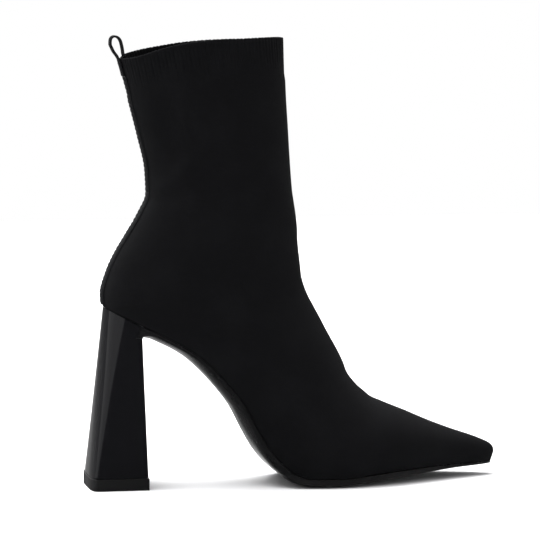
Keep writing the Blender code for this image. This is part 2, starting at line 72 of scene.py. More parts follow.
# Sole, insole and heel. CAMBER bows their joint up in the middle, so that nobody can look through it
CLEARANCE = 0.0003
CAMBER = 0.0004
SOLE_EDGE = 0.003
SOLE_CROWN = 0.002
LIP_DEPTH = 0.0049
LIP_LENGTH = 0.010
INSOLE_THICKNESS = 0.0022
INSOLE_THINNING = 0.25
INSOLE_EDGE_POWER = 6
HEEL_INSET = 0.0008
HEEL_BACK_RAKE = 0.0082
HEEL_TOP_DEPTH = 0.0198
HEEL_BOTTOM_DEPTH = 0.0313
HEEL_BOTTOM_WIDTH = 0.042
HEEL_BOTTOM_CORNER = 0.0045
HEEL_BOTTOM_SQUARENESS = 3.4
HEEL_ARRIS_ANGLE = math.radians(60)
LIFT_THICKNESS = 0.0065
LIFT_PROUD = 0.0005

# Backstay tape and pull loop. The loop's ribbon is 0.2 mm thicker than in the solids, so that its edge shows
TAPE_WIDTH = 0.009
TAPE_THICKNESS = 0.0007
TAPE_BEVEL = 0.0014
TAPE_RIM = 0.2
TAPE_STEPS = 16
TAPE_ROW_STEP = 0.0013
LOOP_THICKNESS = 0.0012
LOOP_WIDTH = 0.006
LOOP_HEIGHT = 0.0123
LOOP_REACH = 0.0054
LOOP_FOOT = 0.0095
LOOP_POINTS = 9
LOOP_FREE_ROWS = 64
LOOP_FOOT_ROWS = 8

# Knit and the ribs of its cuff
CUFF_RIBS = 54
COLUMNS_PER_RIB = 16
COARSENING = 6
CUFF_ROWS = 13
ROW_STEP = 0.0018
RIB_GROOVE = 0.00030
FINE_GROOVE = 0.00014
RIB_HALF_WIDTH = 0.2
RIB_FADE = 0.45
WALE = 0.0009
COURSE = 0.0007
RIM_ROUNDING = 0.44
RIM_ZONE = 0.004

# Soft waves of the knit: how far over the back of the collar and over what length they end, and where on the
# toe. Then how far a crease runs out past its ends, and how far it reaches over the middle plane
WAVINESS = 0.00022
WAVE_SIZE = 0.024
WAVE_END = 0.012
WAVE_FADE = 0.05
CALM_TOE = 0.9
CREASE_ENDS = (-0.25, 0.3)
CREASE_SIDE = (-0.002, 0.012)

# Stitches. LOOP_BARS are shares of the loop's outer foot
STITCH_PITCH = 0.0026
STITCH_LENGTH = 0.0022
THREAD = 0.00042
STITCH_INSET = 0.0011
STITCH_MARGIN = 0.0015
LOOP_BARS = (0.25, 0.85)

# Roundings of the edges, and the angles in degrees past which an edge is sharp
SOLE_ROUNDING = 0.0004
HEEL_ROUNDING = 0.00045
LIFT_ROUNDING = 0.0005
LOOP_ROUNDING = 0.0003
SHARP_ANGLE = 50
HEEL_SHARP_ANGLE = 40

# Numbers of points in which curves and sections are worked out
BED_POINTS = 800
OUTLINE_POINTS = 400
RUN_POINTS = 4000
HALF_ROW_POINTS = 90
BOW_POINTS = 36
SOLE_POINTS = 41
INSOLE_POINTS = 25

# Step along the knit from which its slope is read, that across it as a share, and a length next to nothing
PROBE = 0.001
PROBE_SHARE = 0.1
TINY = 1e-6

# Rows close to an end: shares of ROW_STEP, and for the lip shares of LIP_LENGTH
CLOSE_ROWS = (0.02, 0.08, 0.2, 0.4, 0.7)
INSOLE_CLOSE_ROWS = (0.02, 0.1, 0.3, 0.6)
LIP_ROWS = (0, 0.02, 0.08, 0.2, 0.35, 0.55, 0.8)
INSOLE_ROW_STEP = ROW_STEP * 1.5

# Rows of the heel as shares of its height, the rings that close its top, the points of its flat side, the
# rows of the top lift, and the points on the sole's edge as shares of its depth
HEEL_LEVELS = (0, 0.01, *np.linspace(0.03, 0.97, 22), 0.99, 1)
HEEL_RINGS = (0.96, 0.85, 0.65, 0.4, 0.15)
HEEL_SIDE = (0.05, 0.3, 0.7, 0.95, 1)
LIFT_ROWS = (0, 0.0015, LIFT_THICKNESS / 2, LIFT_THICKNESS - 0.001, LIFT_THICKNESS)
SOLE_EDGE_POINTS = (0.25, 0.5, 0.75)

# The sole's rows are turned by this number of points, so that the strips that close its ends run across
STRIP_TURN = 2

# Scales of the materials' noises: soft patches and flecks of the yarn, clouds, dust and scuffs of what is
# handled. Rubbed rubber is duller by RUBBED_ROUGHNESS
PATCH_SCALE = 38.0
FLECK_SCALE = 1600.0
CLOUD_SCALE = 45.0
DUST_SCALE = 900.0
SCUFF_SCALE = 700.0
SCUFF_STRETCH = (1.0, 1.0, 0.06)
RUBBED_ROUGHNESS = 0.5
# Painted shade: the near-black that the hollows of knit and tape are darkened towards
PAINTED_HOLLOW_SHADE = (0.001, 0.001, 0.001, 1)

# Camera, in the part's frame
AIM = Vector((-0.0134, 0.0002, 0.1192))
CAMERA_TURN = math.radians(11)
CAMERA_DISTANCE = 1.85
CAMERA_HEIGHT = 0.29
CAMERA_LENS = 221.2
SENSOR_WIDTH = 36
CLIP_END = 200

# Studio: the dome's brightness, that of the mirrored room at the left, and the shares of gaze between which
# the room turns bright towards the back, towards the right and upwards. Colours are the room's in the dark
# and the paper's, and lights are aimed at LIT_POINT
DOME = 0.5
ROOM_LEFT = 0.14
ROOM_BEHIND = (-0.15, 0.55)
ROOM_SIDE = (-0.25, 0.1)
ROOM_LOW = (-0.50, -0.24)
ROOM_DARK = (0.02, 0.02, 0.021, 1)
PAPER = (0.86, 0.86, 0.87, 1)
FLOOR_HALF_SIZE = 1.9
LIT_POINT = Vector((0, 0, 0.1))
WHITE = (1.0, 1.0, 1.0, 1)

OUTER, INNER = -1, 1
SIDE_COLUMN = {OUTER: "outer", INNER: "inner"}

# Feather line on the middle plane: x as a share of LENGTH, height as a share of the way up to the seat
FEATHER_COLUMNS = ("x", "height")
FEATHER = (
    (0.005, 1.000),
    (0.044, 0.953),
    (0.089, 0.902),
    (0.164, 0.815),
    (0.218, 0.739),
    (0.260, 0.656),
    (0.286, 0.593),
    (0.316, 0.509),
    (0.341, 0.428),
    (0.373, 0.284),
    (0.409, 0.145),
    (0.438, 0.070),
    (0.467, 0.019),
    (0.498, 0.000),
    (0.588, 0.000),
    (0.651, 0.010),
    (0.775, 0.025),
    (0.864, 0.029),
    (0.995, 0.024),
)

# Outline of the sole, laid flat: place along the feather line, and half widths as shares of BALL_WIDTH
OUTLINE_COLUMNS = ("along", "outer", "inner")
OUTLINE = (
    (0.00, 0.291, 0.291),
    (0.15, 0.291, 0.278),
    (0.25, 0.289, 0.256),
    (0.35, 0.293, 0.244),
    (0.45, 0.332, 0.272),
    (0.53, 0.402, 0.350),
    (0.60, 0.461, 0.415),
    (0.65, 0.466, 0.443),
    (0.72, 0.420, 0.422),
    (0.80, 0.324, 0.329),
    (0.88, 0.211, 0.212),
    (0.94, 0.133, 0.133),
    (0.97, 0.101, 0.101),
    (1.00, 0.078, 0.078),
)
SEAT_ROUND = 0.13
TOE_ROUND = 0.05

# Thickness of the sole's edge and of its crown, as shares of SOLE_EDGE and SOLE_CROWN, and how far the crown
# goes from the flat section of the tread to the round one of the shank
THICKNESS_COLUMNS = ("along", "edge", "crown", "roundness")
THICKNESS = (
    (0.00, 0.70, 1.55, 1.00),
    (0.12, 0.70, 1.40, 1.00),
    (0.18, 0.70, 1.20, 1.00),
    (0.27, 0.70, 1.55, 1.00),
    (0.40, 0.70, 1.60, 1.00),
    (0.46, 0.85, 1.40, 0.70),
    (0.52, 0.95, 1.00, 0.00),
    (0.55, 1.00, 1.00, 0.00),
    (0.66, 1.00, 1.00, 0.00),
    (0.80, 0.95, 0.80, 0.30),
    (0.92, 0.55, 0.50, 0.60),
    (1.00, 0.30, 0.20, 1.00),
)

# The crown's two sections, from the middle of the sole to its edge, as shares of its full depth
CROWN_COLUMNS = ("across", "flat", "round")
CROWN = (
    (0.00, 1.00, 1.00),
    (0.36, 1.00, 0.88),
    (0.62, 1.00, 0.62),
    (0.86, 0.60, 0.26),
    (1.00, 0.00, 0.00),
)

# Rise of the collar's rim over a straight line from its front to its back, as shares of COLLAR_BOW
RIM_COLUMNS = ("share", "outer", "inner")
RIM = (
    (0.00, 0.00, 0.00),
    (0.05, 0.20, 0.05),
    (0.15, 0.42, 0.15),
    (0.30, 0.67, 0.42),
    (0.45, 0.93, 0.64),
    (0.60, 1.00, 0.73),
    (0.70, 0.94, 0.70),
    (0.80, 0.71, 0.66),
    (0.90, 0.34, 0.56),
    (0.96, 0.18, 0.44),
    (1.00, 0.15, 0.15),
)

# The pull loop's free stretch: reach behind or in front of the rim as a share of LOOP_REACH, and rise as a
# share of LOOP_HEIGHT
LOOP = (
    (-0.33, 0.12),
    (-0.63, 0.30),
    (-0.84, 0.48),
    (-0.99, 0.66),
    (-0.96, 0.84),
    (-0.83, 0.95),
    (-0.55, 1.00),
    (-0.28, 0.97),
    (-0.06, 0.89),
    (0.10, 0.75),
    (0.20, 0.57),
    (0.27, 0.39),
    (0.32, 0.21),
)

# Rows of the shaft, from the collar to the seat. A rise of 1 is the bend of the instep in front and the seat
# at the back, and 2 is the collar
SHAFT_COLUMNS = ("front_x", "front_rise", "back_x", "back_rise", "half_width", "widest")
SHAFT = (
    (0.4565, 2.000, 0.0465, 2.000, 0.500, 0.50),
    (0.4590, 1.820, 0.0740, 1.835, 0.503, 0.50),
    (0.4640, 1.652, 0.0967, 1.692, 0.505, 0.50),
    (0.4705, 1.479, 0.1150, 1.553, 0.502, 0.50),
    (0.4757, 1.360, 0.1175, 1.458, 0.498, 0.50),
    (0.4840, 1.265, 0.0965, 1.374, 0.497, 0.51),
    (0.4905, 1.184, 0.0670, 1.293, 0.497, 0.53),
    (0.4942, 1.111, 0.0365, 1.209, 0.497, 0.55),
    (0.4950, 1.050, 0.0138, 1.125, 0.495, 0.57),
    (0.4982, 1.000, 0.0026, 1.051, 0.490, 0.59),
)

# Rows of the foot, from the seat to the toe
FOOT_COLUMNS = ("front_x", "front_rise", "along", "outer", "inner", "widest", "swing")
FOOT = (
    (0.5018, 0.968, 0.000, 0.3590, 0.3590, 0.60, 0.00),
    (0.5053, 0.946, 0.006, 0.3590, 0.3590, 0.60, 0.00),
    (0.5102, 0.920, 0.020, 0.3590, 0.3590, 0.60, 0.00),
    (0.5180, 0.886, 0.045, 0.3600, 0.3590, 0.60, 0.00),
    (0.5290, 0.848, 0.090, 0.3630, 0.3600, 0.60, 0.00),
    (0.5456, 0.790, 0.150, 0.3705, 0.3627, 0.60, 0.00),
    (0.5660, 0.715, 0.225, 0.3834, 0.3666, 0.60, 0.00),
    (0.5868, 0.643, 0.300, 0.3990, 0.3731, 0.61, 0.00),
    (0.6067, 0.568, 0.375, 0.4171, 0.3834, 0.62, 0.00),
    (0.6253, 0.498, 0.450, 0.4430, 0.4016, 0.64, 0.02),
    (0.6466, 0.446, 0.515, 0.4767, 0.4275, 0.66, 0.05),
    (0.6754, 0.400, 0.575, 0.5000, 0.4560, 0.68, 0.10),
    (0.7152, 0.366, 0.635, 0.4974, 0.4767, 0.71, 0.20),
    (0.7671, 0.325, 0.700, 0.4482, 0.4534, 0.74, 0.34),
    (0.8282, 0.272, 0.780, 0.3549, 0.3653, 0.75, 0.54),
    (0.8915, 0.225, 0.860, 0.2435, 0.2487, 0.75, 0.74),
    (0.9411, 0.192, 0.920, 0.1632, 0.1632, 0.74, 0.87),
    (0.9726, 0.168, 0.960, 0.1140, 0.1140, 0.72, 0.93),
    (0.9940, 0.146, 0.985, 0.0933, 0.0933, 0.70, 0.97),
    (1.0020, 0.124, 0.997, 0.0829, 0.0829, 0.68, 0.99),
    (1.0035, 0.108, 1.000, 0.0777, 0.0777, 0.66, 1.00),
)

# Soft creases of the knit, from one end to the other: x as a share of LENGTH, z as a share of the front's
# height, half width and height in millimetres, with a trough below 0. A side of 0 is both sides
CREASE_COLUMNS = ("side", "x0", "z0", "x1", "z1", "half_width", "height")
CREASES = (
    (-1, 0.150, 0.880, 0.160, 0.700, 6.0, -1.9),
    (-1, 0.130, 0.660, 0.235, 0.755, 3.8, 1.0),
    (-1, 0.150, 0.640, 0.290, 0.715, 5.0, -0.8),
    (1, 0.145, 0.880, 0.160, 0.705, 6.5, -1.5),
    (1, 0.100, 0.680, 0.240, 0.750, 4.2, 0.8),
    (1, 0.150, 0.630, 0.310, 0.690, 5.0, -0.8),
    (0, 0.400, 0.610, 0.520, 0.520, 5.5, -0.6),
    (0, 0.390, 0.560, 0.530, 0.465, 4.5, 0.4),
    (0, 0.560, 0.190, 0.640, 0.275, 5.0, -0.7),
    (0, 0.600, 0.150, 0.690, 0.225, 4.0, 0.45),
)

heel_low, heel_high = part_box("heel")
SHIFT = Vector((heel_low.x + HEEL_BACK_RAKE, (heel_low.y + heel_high.y) / 2, 0))


def columns_of(names, table):
    return dict(zip(names, np.array(table).T))


def through(knots, values, at):
    """A smooth curve through the values that never overshoots them, read at one or more places."""
    knots, values = np.asarray(knots, float), np.asarray(values, float)
    span = np.diff(knots)
    rate = np.diff(values) / span
    slope = np.zeros_like(values)
    slope[0], slope[-1] = rate[0], rate[-1]
    before, after = 2 * span[1:] + span[:-1], span[1:] + 2 * span[:-1]
    same_way = rate[:-1] * rate[1:] > 0
    left = np.where(same_way, rate[:-1], 1)
    right = np.where(same_way, rate[1:], 1)
    slope[1:-1] = np.where(same_way, (before + after) / (before / left + after / right), 0)
    at = np.clip(at, knots[0], knots[-1])
    k = np.clip(np.searchsorted(knots, at, side="right") - 1, 0, len(knots) - 2)
    h = span[k]
    t = (at - knots[k]) / h
    return (
        values[k] * (1 + 2 * t) * (1 - t) ** 2
        + slope[k] * h * t * (1 - t) ** 2
        + values[k + 1] * t * t * (3 - 2 * t)
        + slope[k + 1] * h * t * t * (t - 1)
    )


def rounding(share):
    """0 at the very end of an outline, 1 where its round end is over."""
    return (1 - (1 - np.clip(share, 0, 1)) ** ROUNDNESS) ** (1 / ROUNDNESS)


def smooth_step(low, high, value):
    share = np.clip((value - low) / (high - low), 0, 1)
    return share * share * (3 - 2 * share)


def camber(share):
    """Bow of the joint under the foot, from its middle at 0 to its edge at 1."""
    return CAMBER * (1 - share**2) ** 2


def distances(points):
    """Distance of each point of a line from its first one."""
    return np.concatenate([[0], np.cumsum(np.linalg.norm(np.diff(points, axis=0), axis=1))])


class SoleBed:
    """The surface on which upper, sole, insole and heel meet: a line on the middle plane and an outline."""

    def __init__(self):
        line = columns_of(FEATHER_COLUMNS, FEATHER)
        bed = CLEARANCE + SOLE_EDGE + SOLE_CROWN
        self.x = np.linspace(line["x"][0], line["x"][-1], BED_POINTS) * LENGTH
        self.z = bed + (SEAT_HEIGHT - bed) * through(line["x"] * LENGTH, line["height"], self.x)
        steps = np.hypot(np.diff(self.x), np.diff(self.z))
        self.along = np.concatenate([[0], np.cumsum(steps)])
        self.length = self.along[-1]
        self.outline = columns_of(OUTLINE_COLUMNS, OUTLINE)
        self.foot = columns_of(FOOT_COLUMNS, FOOT)
        self.slope = np.gradient(self.z, self.x)

    def at_x(self, x):
        return float(np.interp(x, self.x, self.along))

    def point(self, along, y=0.0, height=0.0):
        """Points of the boot: along the line, across it, and above it at a right angle."""
        slope = np.interp(along, self.along, self.slope)
        size = np.hypot(1, slope)
        x = np.interp(along, self.along, self.x) - slope / size * height
        z = np.interp(along, self.along, self.z) + height / size
        return np.stack(np.broadcast_arrays(x, y, z), axis=-1)

    def swing(self, along):
        return TOE_SWING * through(self.foot["along"], self.foot["swing"], along / self.length)

    def toe_round(self, along):
        return rounding((1 - along / self.length) / TOE_ROUND)

    def blunt_half_width(self, side, along):
        share = along / self.length
        width = BALL_WIDTH * through(self.outline["along"], self.outline[SIDE_COLUMN[side]], share)
        return width * rounding(share / SEAT_ROUND)

    def half_width(self, side, along, inset=0.0):
        """The outline's half width, or that of the outline drawn in by an inset all round."""
        if not inset:
            return self.blunt_half_width(side, along) * self.toe_round(along)
        share = 0.5 - 0.5 * np.cos(np.linspace(0, math.pi, OUTLINE_POINTS))
        flat = np.stack([share * self.length, self.half_width(side, share * self.length)])
        run = np.gradient(flat, axis=1)
        run /= np.linalg.norm(run, axis=0)
        drawn = flat + inset * np.stack([run[1], -run[0]])
        inside = drawn[1] > 0
        return np.interp(along, drawn[0][inside], drawn[1][inside], 0, 0)


class Upper:
    """The outer face of the knit, as a fan of rows from the collar to the toe.

    Each row runs from a front point on the top line to a low point, which is on the line of the back down to
    the seat, and then on the feather line.
    """

    def __init__(self, bed):
        self.bed = bed
        shaft, foot = columns_of(SHAFT_COLUMNS, SHAFT), columns_of(FOOT_COLUMNS, FOOT)
        rise = np.concatenate([shaft["front_rise"], foot["front_rise"]])
        above = np.clip(rise - 1, 0, 1)
        height = np.minimum(rise, 1) * INSTEP_HEIGHT + above * (COLLAR_FRONT_HEIGHT - INSTEP_HEIGHT)
        front_x = np.concatenate([shaft["front_x"], foot["front_x"]]) * LENGTH
        self.front = np.stack([front_x, height])
        seat = bed.point(0)
        back_height = seat[2] + (shaft["back_rise"] - 1) * (COLLAR_BACK_HEIGHT - seat[2])
        self.back = np.stack(
            [np.append(shaft["back_x"] * LENGTH, seat[0]), np.append(back_height, seat[2])]
        )
        feather = bed.point(foot["along"] * bed.length)[:, ::2].T
        low = np.concatenate([self.back[:, :-1], feather], axis=1)
        step = [np.hypot(*np.diff(line, axis=1)) for line in (self.front, low)]
        self.runs = np.concatenate([[0], np.cumsum((step[0] + step[1]) / 2)])
        self.seat_run = self.runs[len(SHAFT)]
        self.along = foot["along"] * bed.length
        self.half = {
            side: np.concatenate([shaft["half_width"] * COLLAR_WIDTH, foot[SIDE_COLUMN[side]] * BALL_WIDTH])
            for side in (OUTER, INNER)
        }
        self.widest = np.concatenate([shaft["widest"], foot["widest"]])
        self.rim = columns_of(RIM_COLUMNS, RIM)

    def along_at(self, run):
        return through(self.runs[len(SHAFT) :], self.along, run)

    def run_at_along(self, along):
        runs = np.linspace(self.seat_run, self.runs[-1], RUN_POINTS)
        return np.interp(along, self.along_at(runs), runs)

    def run_at_back(self, height):
        return float(np.interp(-height, -self.back[1], self.runs[: len(SHAFT) + 1]))

    def row(self, run, side):
        """One row's front and low point, half width, widest share, low half width as a share, and swing."""
        inset = CUFF_STEP * np.clip((CUFF_HEIGHT + CUFF_RAMP - run) / CUFF_RAMP, 0, 1)
        front = np.array([through(self.runs, values, run) for values in self.front])
        half = float(through(self.runs, self.half[side], run)) - inset
        widest = float(through(self.runs, self.widest, run))
        front[0] -= inset
        if run < self.seat_run:
            back_runs = self.runs[: len(SHAFT) + 1]
            low = np.array([through(back_runs, values, run) for values in self.back])
            low[0] += inset
            return front, low, half, widest, 0.0, 0.0
        along = float(self.along_at(run))
        low = self.bed.point(along)[::2]
        end = min(self.bed.blunt_half_width(side, along) / half, WALL_TUCK)
        return front, low, half * self.bed.toe_round(along), widest, end, self.bed.swing(along)

    def points(self, run, shares, side):
        front, low, half, widest, end, swing = self.row(run, side)
        shares = np.atleast_1d(shares)
        top = rounding(shares / widest)
        past = np.clip((shares - widest) / (1 - widest), 0, 1)
        bottom = (1 - (1 - end**ROUNDNESS) * past**ROUNDNESS) ** (1 / ROUNDNESS)
        line = front + (low - front) * shares[:, None]
        faded = (1 - min(max(run - CUFF_HEIGHT, 0) / BOW_FADE, 1)) ** 2
        bow = COLLAR_BOW * through(self.rim["share"], self.rim[SIDE_COLUMN[side]], shares)
        z = line[:, 1] + bow * faded
        return np.stack([line[:, 0], swing + side * half * top * bottom, z], axis=1)

    def even_row(self, run, side, count):
        """Evenly spaced points of a row from its front to its low end, and how far each is along it."""
        widest = self.row(run, side)[3]
        swept = np.linspace(0, math.pi / 2, HALF_ROW_POINTS)
        near = widest * (1 - np.cos(swept) ** (2 / ROUNDNESS))
        far = widest + (1 - widest) * np.sin(swept) ** (2 / ROUNDNESS)
        dense = self.points(run, np.concatenate([near, far[1:]]), side)
        reach = distances(dense)
        wanted = np.linspace(0, reach[-1], count + 1)
        return np.stack([np.interp(wanted, reach, axis) for axis in dense.T], axis=1), wanted

    def back_point(self, run, y, lift=0.0):
        """A point y to the side of the line of the back, lifted off the upper or sunk through it."""
        side = OUTER if y < 0 else INNER

        def on_face(run, y):
            _, _, half, widest, _, _ = self.row(run, side)
            past = (1 - min(abs(y) / half, 1) ** ROUNDNESS) ** (1 / ROUNDNESS)
            return self.points(run, widest + (1 - widest) * past, side)[0]

        near, far = max(run - PROBE, 0), min(run + PROBE, self.seat_run - TINY)
        down = on_face(far, y) - on_face(near, y)
        wide, narrow = abs(y) * (1 + PROBE_SHARE) + TINY, abs(y) * (1 - PROBE_SHARE)
        out = on_face(run, wide) - on_face(run, narrow)
        slant = math.copysign(abs(out[0] / out[1]), y) if y else 0
        normal = np.array([-down[2], slant * down[2], down[0]])
        normal *= -math.copysign(1, normal[0]) / np.linalg.norm(normal)
        return on_face(run, y) + lift * normal


bed = SoleBed()
upper = Upper(bed)
loop_foot_run = upper.run_at_back(COLLAR_BACK_HEIGHT - LOOP_FOOT)


# Node trees


class Tree:
    """Short calls that add a node, feed its sockets with values or outputs, and hand back its output."""

    def __init__(self, tree):
        self.tree = tree

    def node(self, kind, *inputs, named=None, **settings):
        made = self.tree.nodes.new(kind)
        for key, value in settings.items():
            setattr(made, key, value)
        for place, value in [*enumerate(inputs), *(named or {}).items()]:
            self.feed(made.inputs[place], value)
        return made

    def feed(self, socket, value):
        if isinstance(value, bpy.types.NodeSocket):
            self.tree.links.new(value, socket)
        elif value is not None:
            socket.default_value = value

    def math(self, operation, *values):
        return self.node("ShaderNodeMath", *values, operation=operation).outputs[0]

    def ramp(self, value, from_low, from_high, to_low=0.0, to_high=1.0):
        span = (from_low, from_high, to_low, to_high)
        return self.node("ShaderNodeMapRange", value, *span, interpolation_type="SMOOTHSTEP").outputs[0]

    def mix(self, share, first, second):
        made = self.node("ShaderNodeMix", share, data_type="RGBA", blend_type="MIX")
        self.feed(made.inputs[6], first)
        self.feed(made.inputs[7], second)
        return made.outputs[2]

    def noise(self, place, scale, detail):
        named = {"Vector": place, "Scale": scale, "Detail": detail}
        return self.node("ShaderNodeTexNoise", named=named).outputs[0]


def new_group(name, kind, inputs, outputs):
    """An empty node group with named sockets: a name, a socket type and, for an input, its first value."""
    group = bpy.data.node_groups.new(name, kind)
    for label, socket_type, *first in inputs:
        made = group.interface.new_socket(label, in_out="INPUT", socket_type="NodeSocket" + socket_type)
        if first:
            made.default_value = first[0]
    for label, socket_type in outputs:
        group.interface.new_socket(label, in_out="OUTPUT", socket_type="NodeSocket" + socket_type)
    tree = Tree(group)
    return tree, tree.node("NodeGroupInput").outputs, tree.node("NodeGroupOutput").inputs


def knit_group():
    """Plain knit seen close: each wale is a column of V shaped loops."""
    tree, given, out = new_group(
        "Knit stitches",
        "ShaderNodeTree",
        [("Place", "Vector"), ("Wale", "Float", WALE), ("Course", "Float", COURSE)],
        [("Height", "Float"), ("Hollow", "Float")],
    )
    place = tree.node("ShaderNodeSeparateXYZ", given["Place"]).outputs
    wale = tree.math("DIVIDE", place[0], given["Wale"])
    course = tree.math("DIVIDE", place[1], given["Course"])
    middle = tree.math("PINGPONG", wale, 0.5)
    leg = tree.math("SINE", tree.math("MULTIPLY", middle, 2 * math.pi))
    raised = tree.math("ADD", course, tree.math("MULTIPLY", middle, 1.3))
    slanted = tree.math("MULTIPLY", raised, 2 * math.pi)
    bead = tree.math("MULTIPLY_ADD", tree.math("COSINE", slanted), 0.25, 0.75)
    height = tree.math("MULTIPLY", leg, bead)
    tree.feed(out["Height"], height)
    # Hollow marks the stitch hollows, where the cloth's colour gets painted shade
    tree.feed(out["Hollow"], tree.ramp(height, 0.0, 0.45, 1.0, 0.0))
    return tree.tree


def ribbon_group():
    """Woven tape: fine ribs across it, and a firm selvedge at both edges."""
    tree, given, out = new_group(
        "Woven tape",
        "ShaderNodeTree",
        [("Place", "Vector"), ("Pitch", "Float", 0.0006), ("Half width", "Float", TAPE_WIDTH / 2)],
        [("Height", "Float"), ("Hollow", "Float")],
    )
    place = tree.node("ShaderNodeSeparateXYZ", given["Place"]).outputs
    turn = tree.math("MULTIPLY", tree.math("DIVIDE", place[1], given["Pitch"]), math.pi)
    rib = tree.math("ABSOLUTE", tree.math("SINE", turn))
    yarn = tree.math("MULTIPLY", tree.math("DIVIDE", place[0], given["Pitch"]), 2 * math.pi)
    twist = tree.math("MULTIPLY_ADD", tree.math("SINE", yarn), 0.12, 0.88)
    edge = tree.math("DIVIDE", tree.math("ABSOLUTE", place[0]), given["Half width"])
    height = tree.math("ADD", tree.math("MULTIPLY", rib, twist), tree.ramp(edge, 0.8, 0.95, 0.0, 0.5))
    tree.feed(out["Height"], height)
    # Hollow marks the tape's hollows, where the cloth's colour gets painted shade
    tree.feed(out["Hollow"], tree.ramp(rib, 0.0, 0.5, 1.0, 0.0))
    return tree.tree


def cloth_tone_and_shade_group():
    """Black yarn's uneven colour: darker with painted shade in the hollows of its stitches, a little lighter
    in soft patches and flecks.
    """
    tree, given, out = new_group(
        "Cloth tone and hollow shade",
        "ShaderNodeTree",
        [("Place", "Vector"), ("Hollow", "Float", 0.0), ("Yarn", "Color"), ("Worn yarn", "Color")],
        [("Colour", "Color")],
    )
    patches = tree.ramp(tree.noise(given["Place"], PATCH_SCALE, 3.0), 0.42, 0.68)
    flecks = tree.ramp(tree.noise(given["Place"], FLECK_SCALE, 1.0), 0.55, 0.75)
    worn = tree.math("ADD", tree.math("MULTIPLY", patches, 0.3), tree.math("MULTIPLY", flecks, 0.5))
    toned = tree.mix(worn, given["Yarn"], given["Worn yarn"])
    # Painted shade: darkens the colour in the hollows of the weave
    sunk = tree.math("MULTIPLY", given["Hollow"], 0.55)
    tree.feed(out["Colour"], tree.mix(sunk, toned, PAINTED_HOLLOW_SHADE))
    return tree.tree


def handling_group():
    """Handled plastic and rubber: cloudy roughness, fine dust and hairline scuffs."""
    tree, given, out = new_group(
        "Handling",
        "ShaderNodeTree",
        [("Place", "Vector"), ("Smooth", "Float", 0.1), ("Rough", "Float", 0.2), ("Dust", "Float", 0.3)],
        [("Roughness", "Float"), ("Dust", "Float"), ("Height", "Float")],
    )
    clouds = tree.noise(given["Place"], CLOUD_SCALE, 4.0)
    specks = tree.ramp(tree.noise(given["Place"], DUST_SCALE, 1.0), 0.68, 0.78)
    stretch = tree.node("ShaderNodeVectorMath", given["Place"], SCUFF_STRETCH, operation="MULTIPLY")
    scuffs = tree.ramp(tree.noise(stretch.outputs[0], SCUFF_SCALE, 2.0), 0.66, 0.74)
    span = tree.math("SUBTRACT", given["Rough"], given["Smooth"])
    cloudy = tree.math("MULTIPLY_ADD", tree.ramp(clouds, 0.35, 0.7), span, given["Smooth"])
    tree.feed(out["Roughness"], tree.math("MULTIPLY_ADD", scuffs, 0.08, cloudy))
    tree.feed(out["Dust"], tree.math("MULTIPLY", specks, given["Dust"]))
    tree.feed(out["Height"], tree.math("MULTIPLY_ADD", scuffs, -0.5, clouds))
    return tree.tree


GROUPS = {
    "knit": knit_group(),
    "ribbon": ribbon_group(),
    "tone_and_shade": cloth_tone_and_shade_group(),
    "handling": handling_group(),
}


def new_material(name, **sockets):
    """A Principled material whose constant values are set on the shader's own sockets."""
    made = bpy.data.materials.new(name)
    made.use_nodes = True
    shader = made.node_tree.nodes["Principled BSDF"]
    for label, value in sockets.items():
        shader.inputs[label.replace("_", " ")].default_value = value
    return made, Tree(made.node_tree), shader.inputs


def bump(tree, height, distance):
    named = {"Height": height, "Distance": distance, "Strength": 1.0}
    return tree.node("ShaderNodeBump", named=named).outputs[0]


def cloth_material(name, weave, weave_sockets, yarn, worn, relief, roughness, sheen):
    """Knit or woven yarn. Worn is its colour in patches and flecks, relief the height of its pattern, and
    the pattern's hollows are darkened with painted shade.
    """
    made, tree, shader = new_material(name, Roughness=roughness, Sheen_Weight=sheen, Sheen_Roughness=0.45)
    shader["Specular IOR Level"].default_value = 0.05
    object_place = tree.node("ShaderNodeTexCoord").outputs["Object"]
    cloth_place = tree.node("ShaderNodeUVMap", uv_map="cloth").outputs[0]
    pattern = tree.node("ShaderNodeGroup", node_tree=GROUPS[weave])
    tree.feed(pattern.inputs["Place"], cloth_place)
    for label, value in weave_sockets.items():
        tree.feed(pattern.inputs[label], value)
    tone_and_shade = tree.node("ShaderNodeGroup", node_tree=GROUPS["tone_and_shade"])
    values = {"Place": object_place, "Hollow": pattern.outputs["Hollow"], "Yarn": yarn, "Worn yarn": worn}
    for label, value in values.items():
        tree.feed(tone_and_shade.inputs[label], value)
    tree.feed(shader["Base Color"], tone_and_shade.outputs["Colour"])
    tree.feed(shader["Normal"], bump(tree, pattern.outputs["Height"], relief))
    return made


def handled_material(name, colour, dust_colour, smooth, rough, dust, grain, rubbed=None, **sockets):
    """Plastic, rubber or thread. Smooth and rough are the ends of its roughness, dust is the dust's share.

    Grain is the scale and the depth of its own fine relief. Rubbed is two heights: the surface is dull from
    walking below the first, and as made above the second.
    """
    made, tree, shader = new_material(name, **sockets)
    place = tree.node("ShaderNodeTexCoord").outputs["Object"]
    handled = tree.node("ShaderNodeGroup", node_tree=GROUPS["handling"])
    for label, value in {"Place": place, "Smooth": smooth, "Rough": rough, "Dust": dust}.items():
        tree.feed(handled.inputs[label], value)
    tree.feed(shader["Base Color"], tree.mix(handled.outputs["Dust"], colour, dust_colour))
    roughness = handled.outputs["Roughness"]
    if rubbed:
        height = tree.node("ShaderNodeSeparateXYZ", place).outputs[2]
        roughness = tree.math("ADD", roughness, tree.ramp(height, *rubbed, RUBBED_ROUGHNESS, 0.0))
    tree.feed(shader["Roughness"], roughness)
    scale, depth = grain
    relief = tree.math("ADD", tree.noise(place, scale, 2.0), handled.outputs["Height"])
    tree.feed(shader["Normal"], bump(tree, relief, depth))
    return made


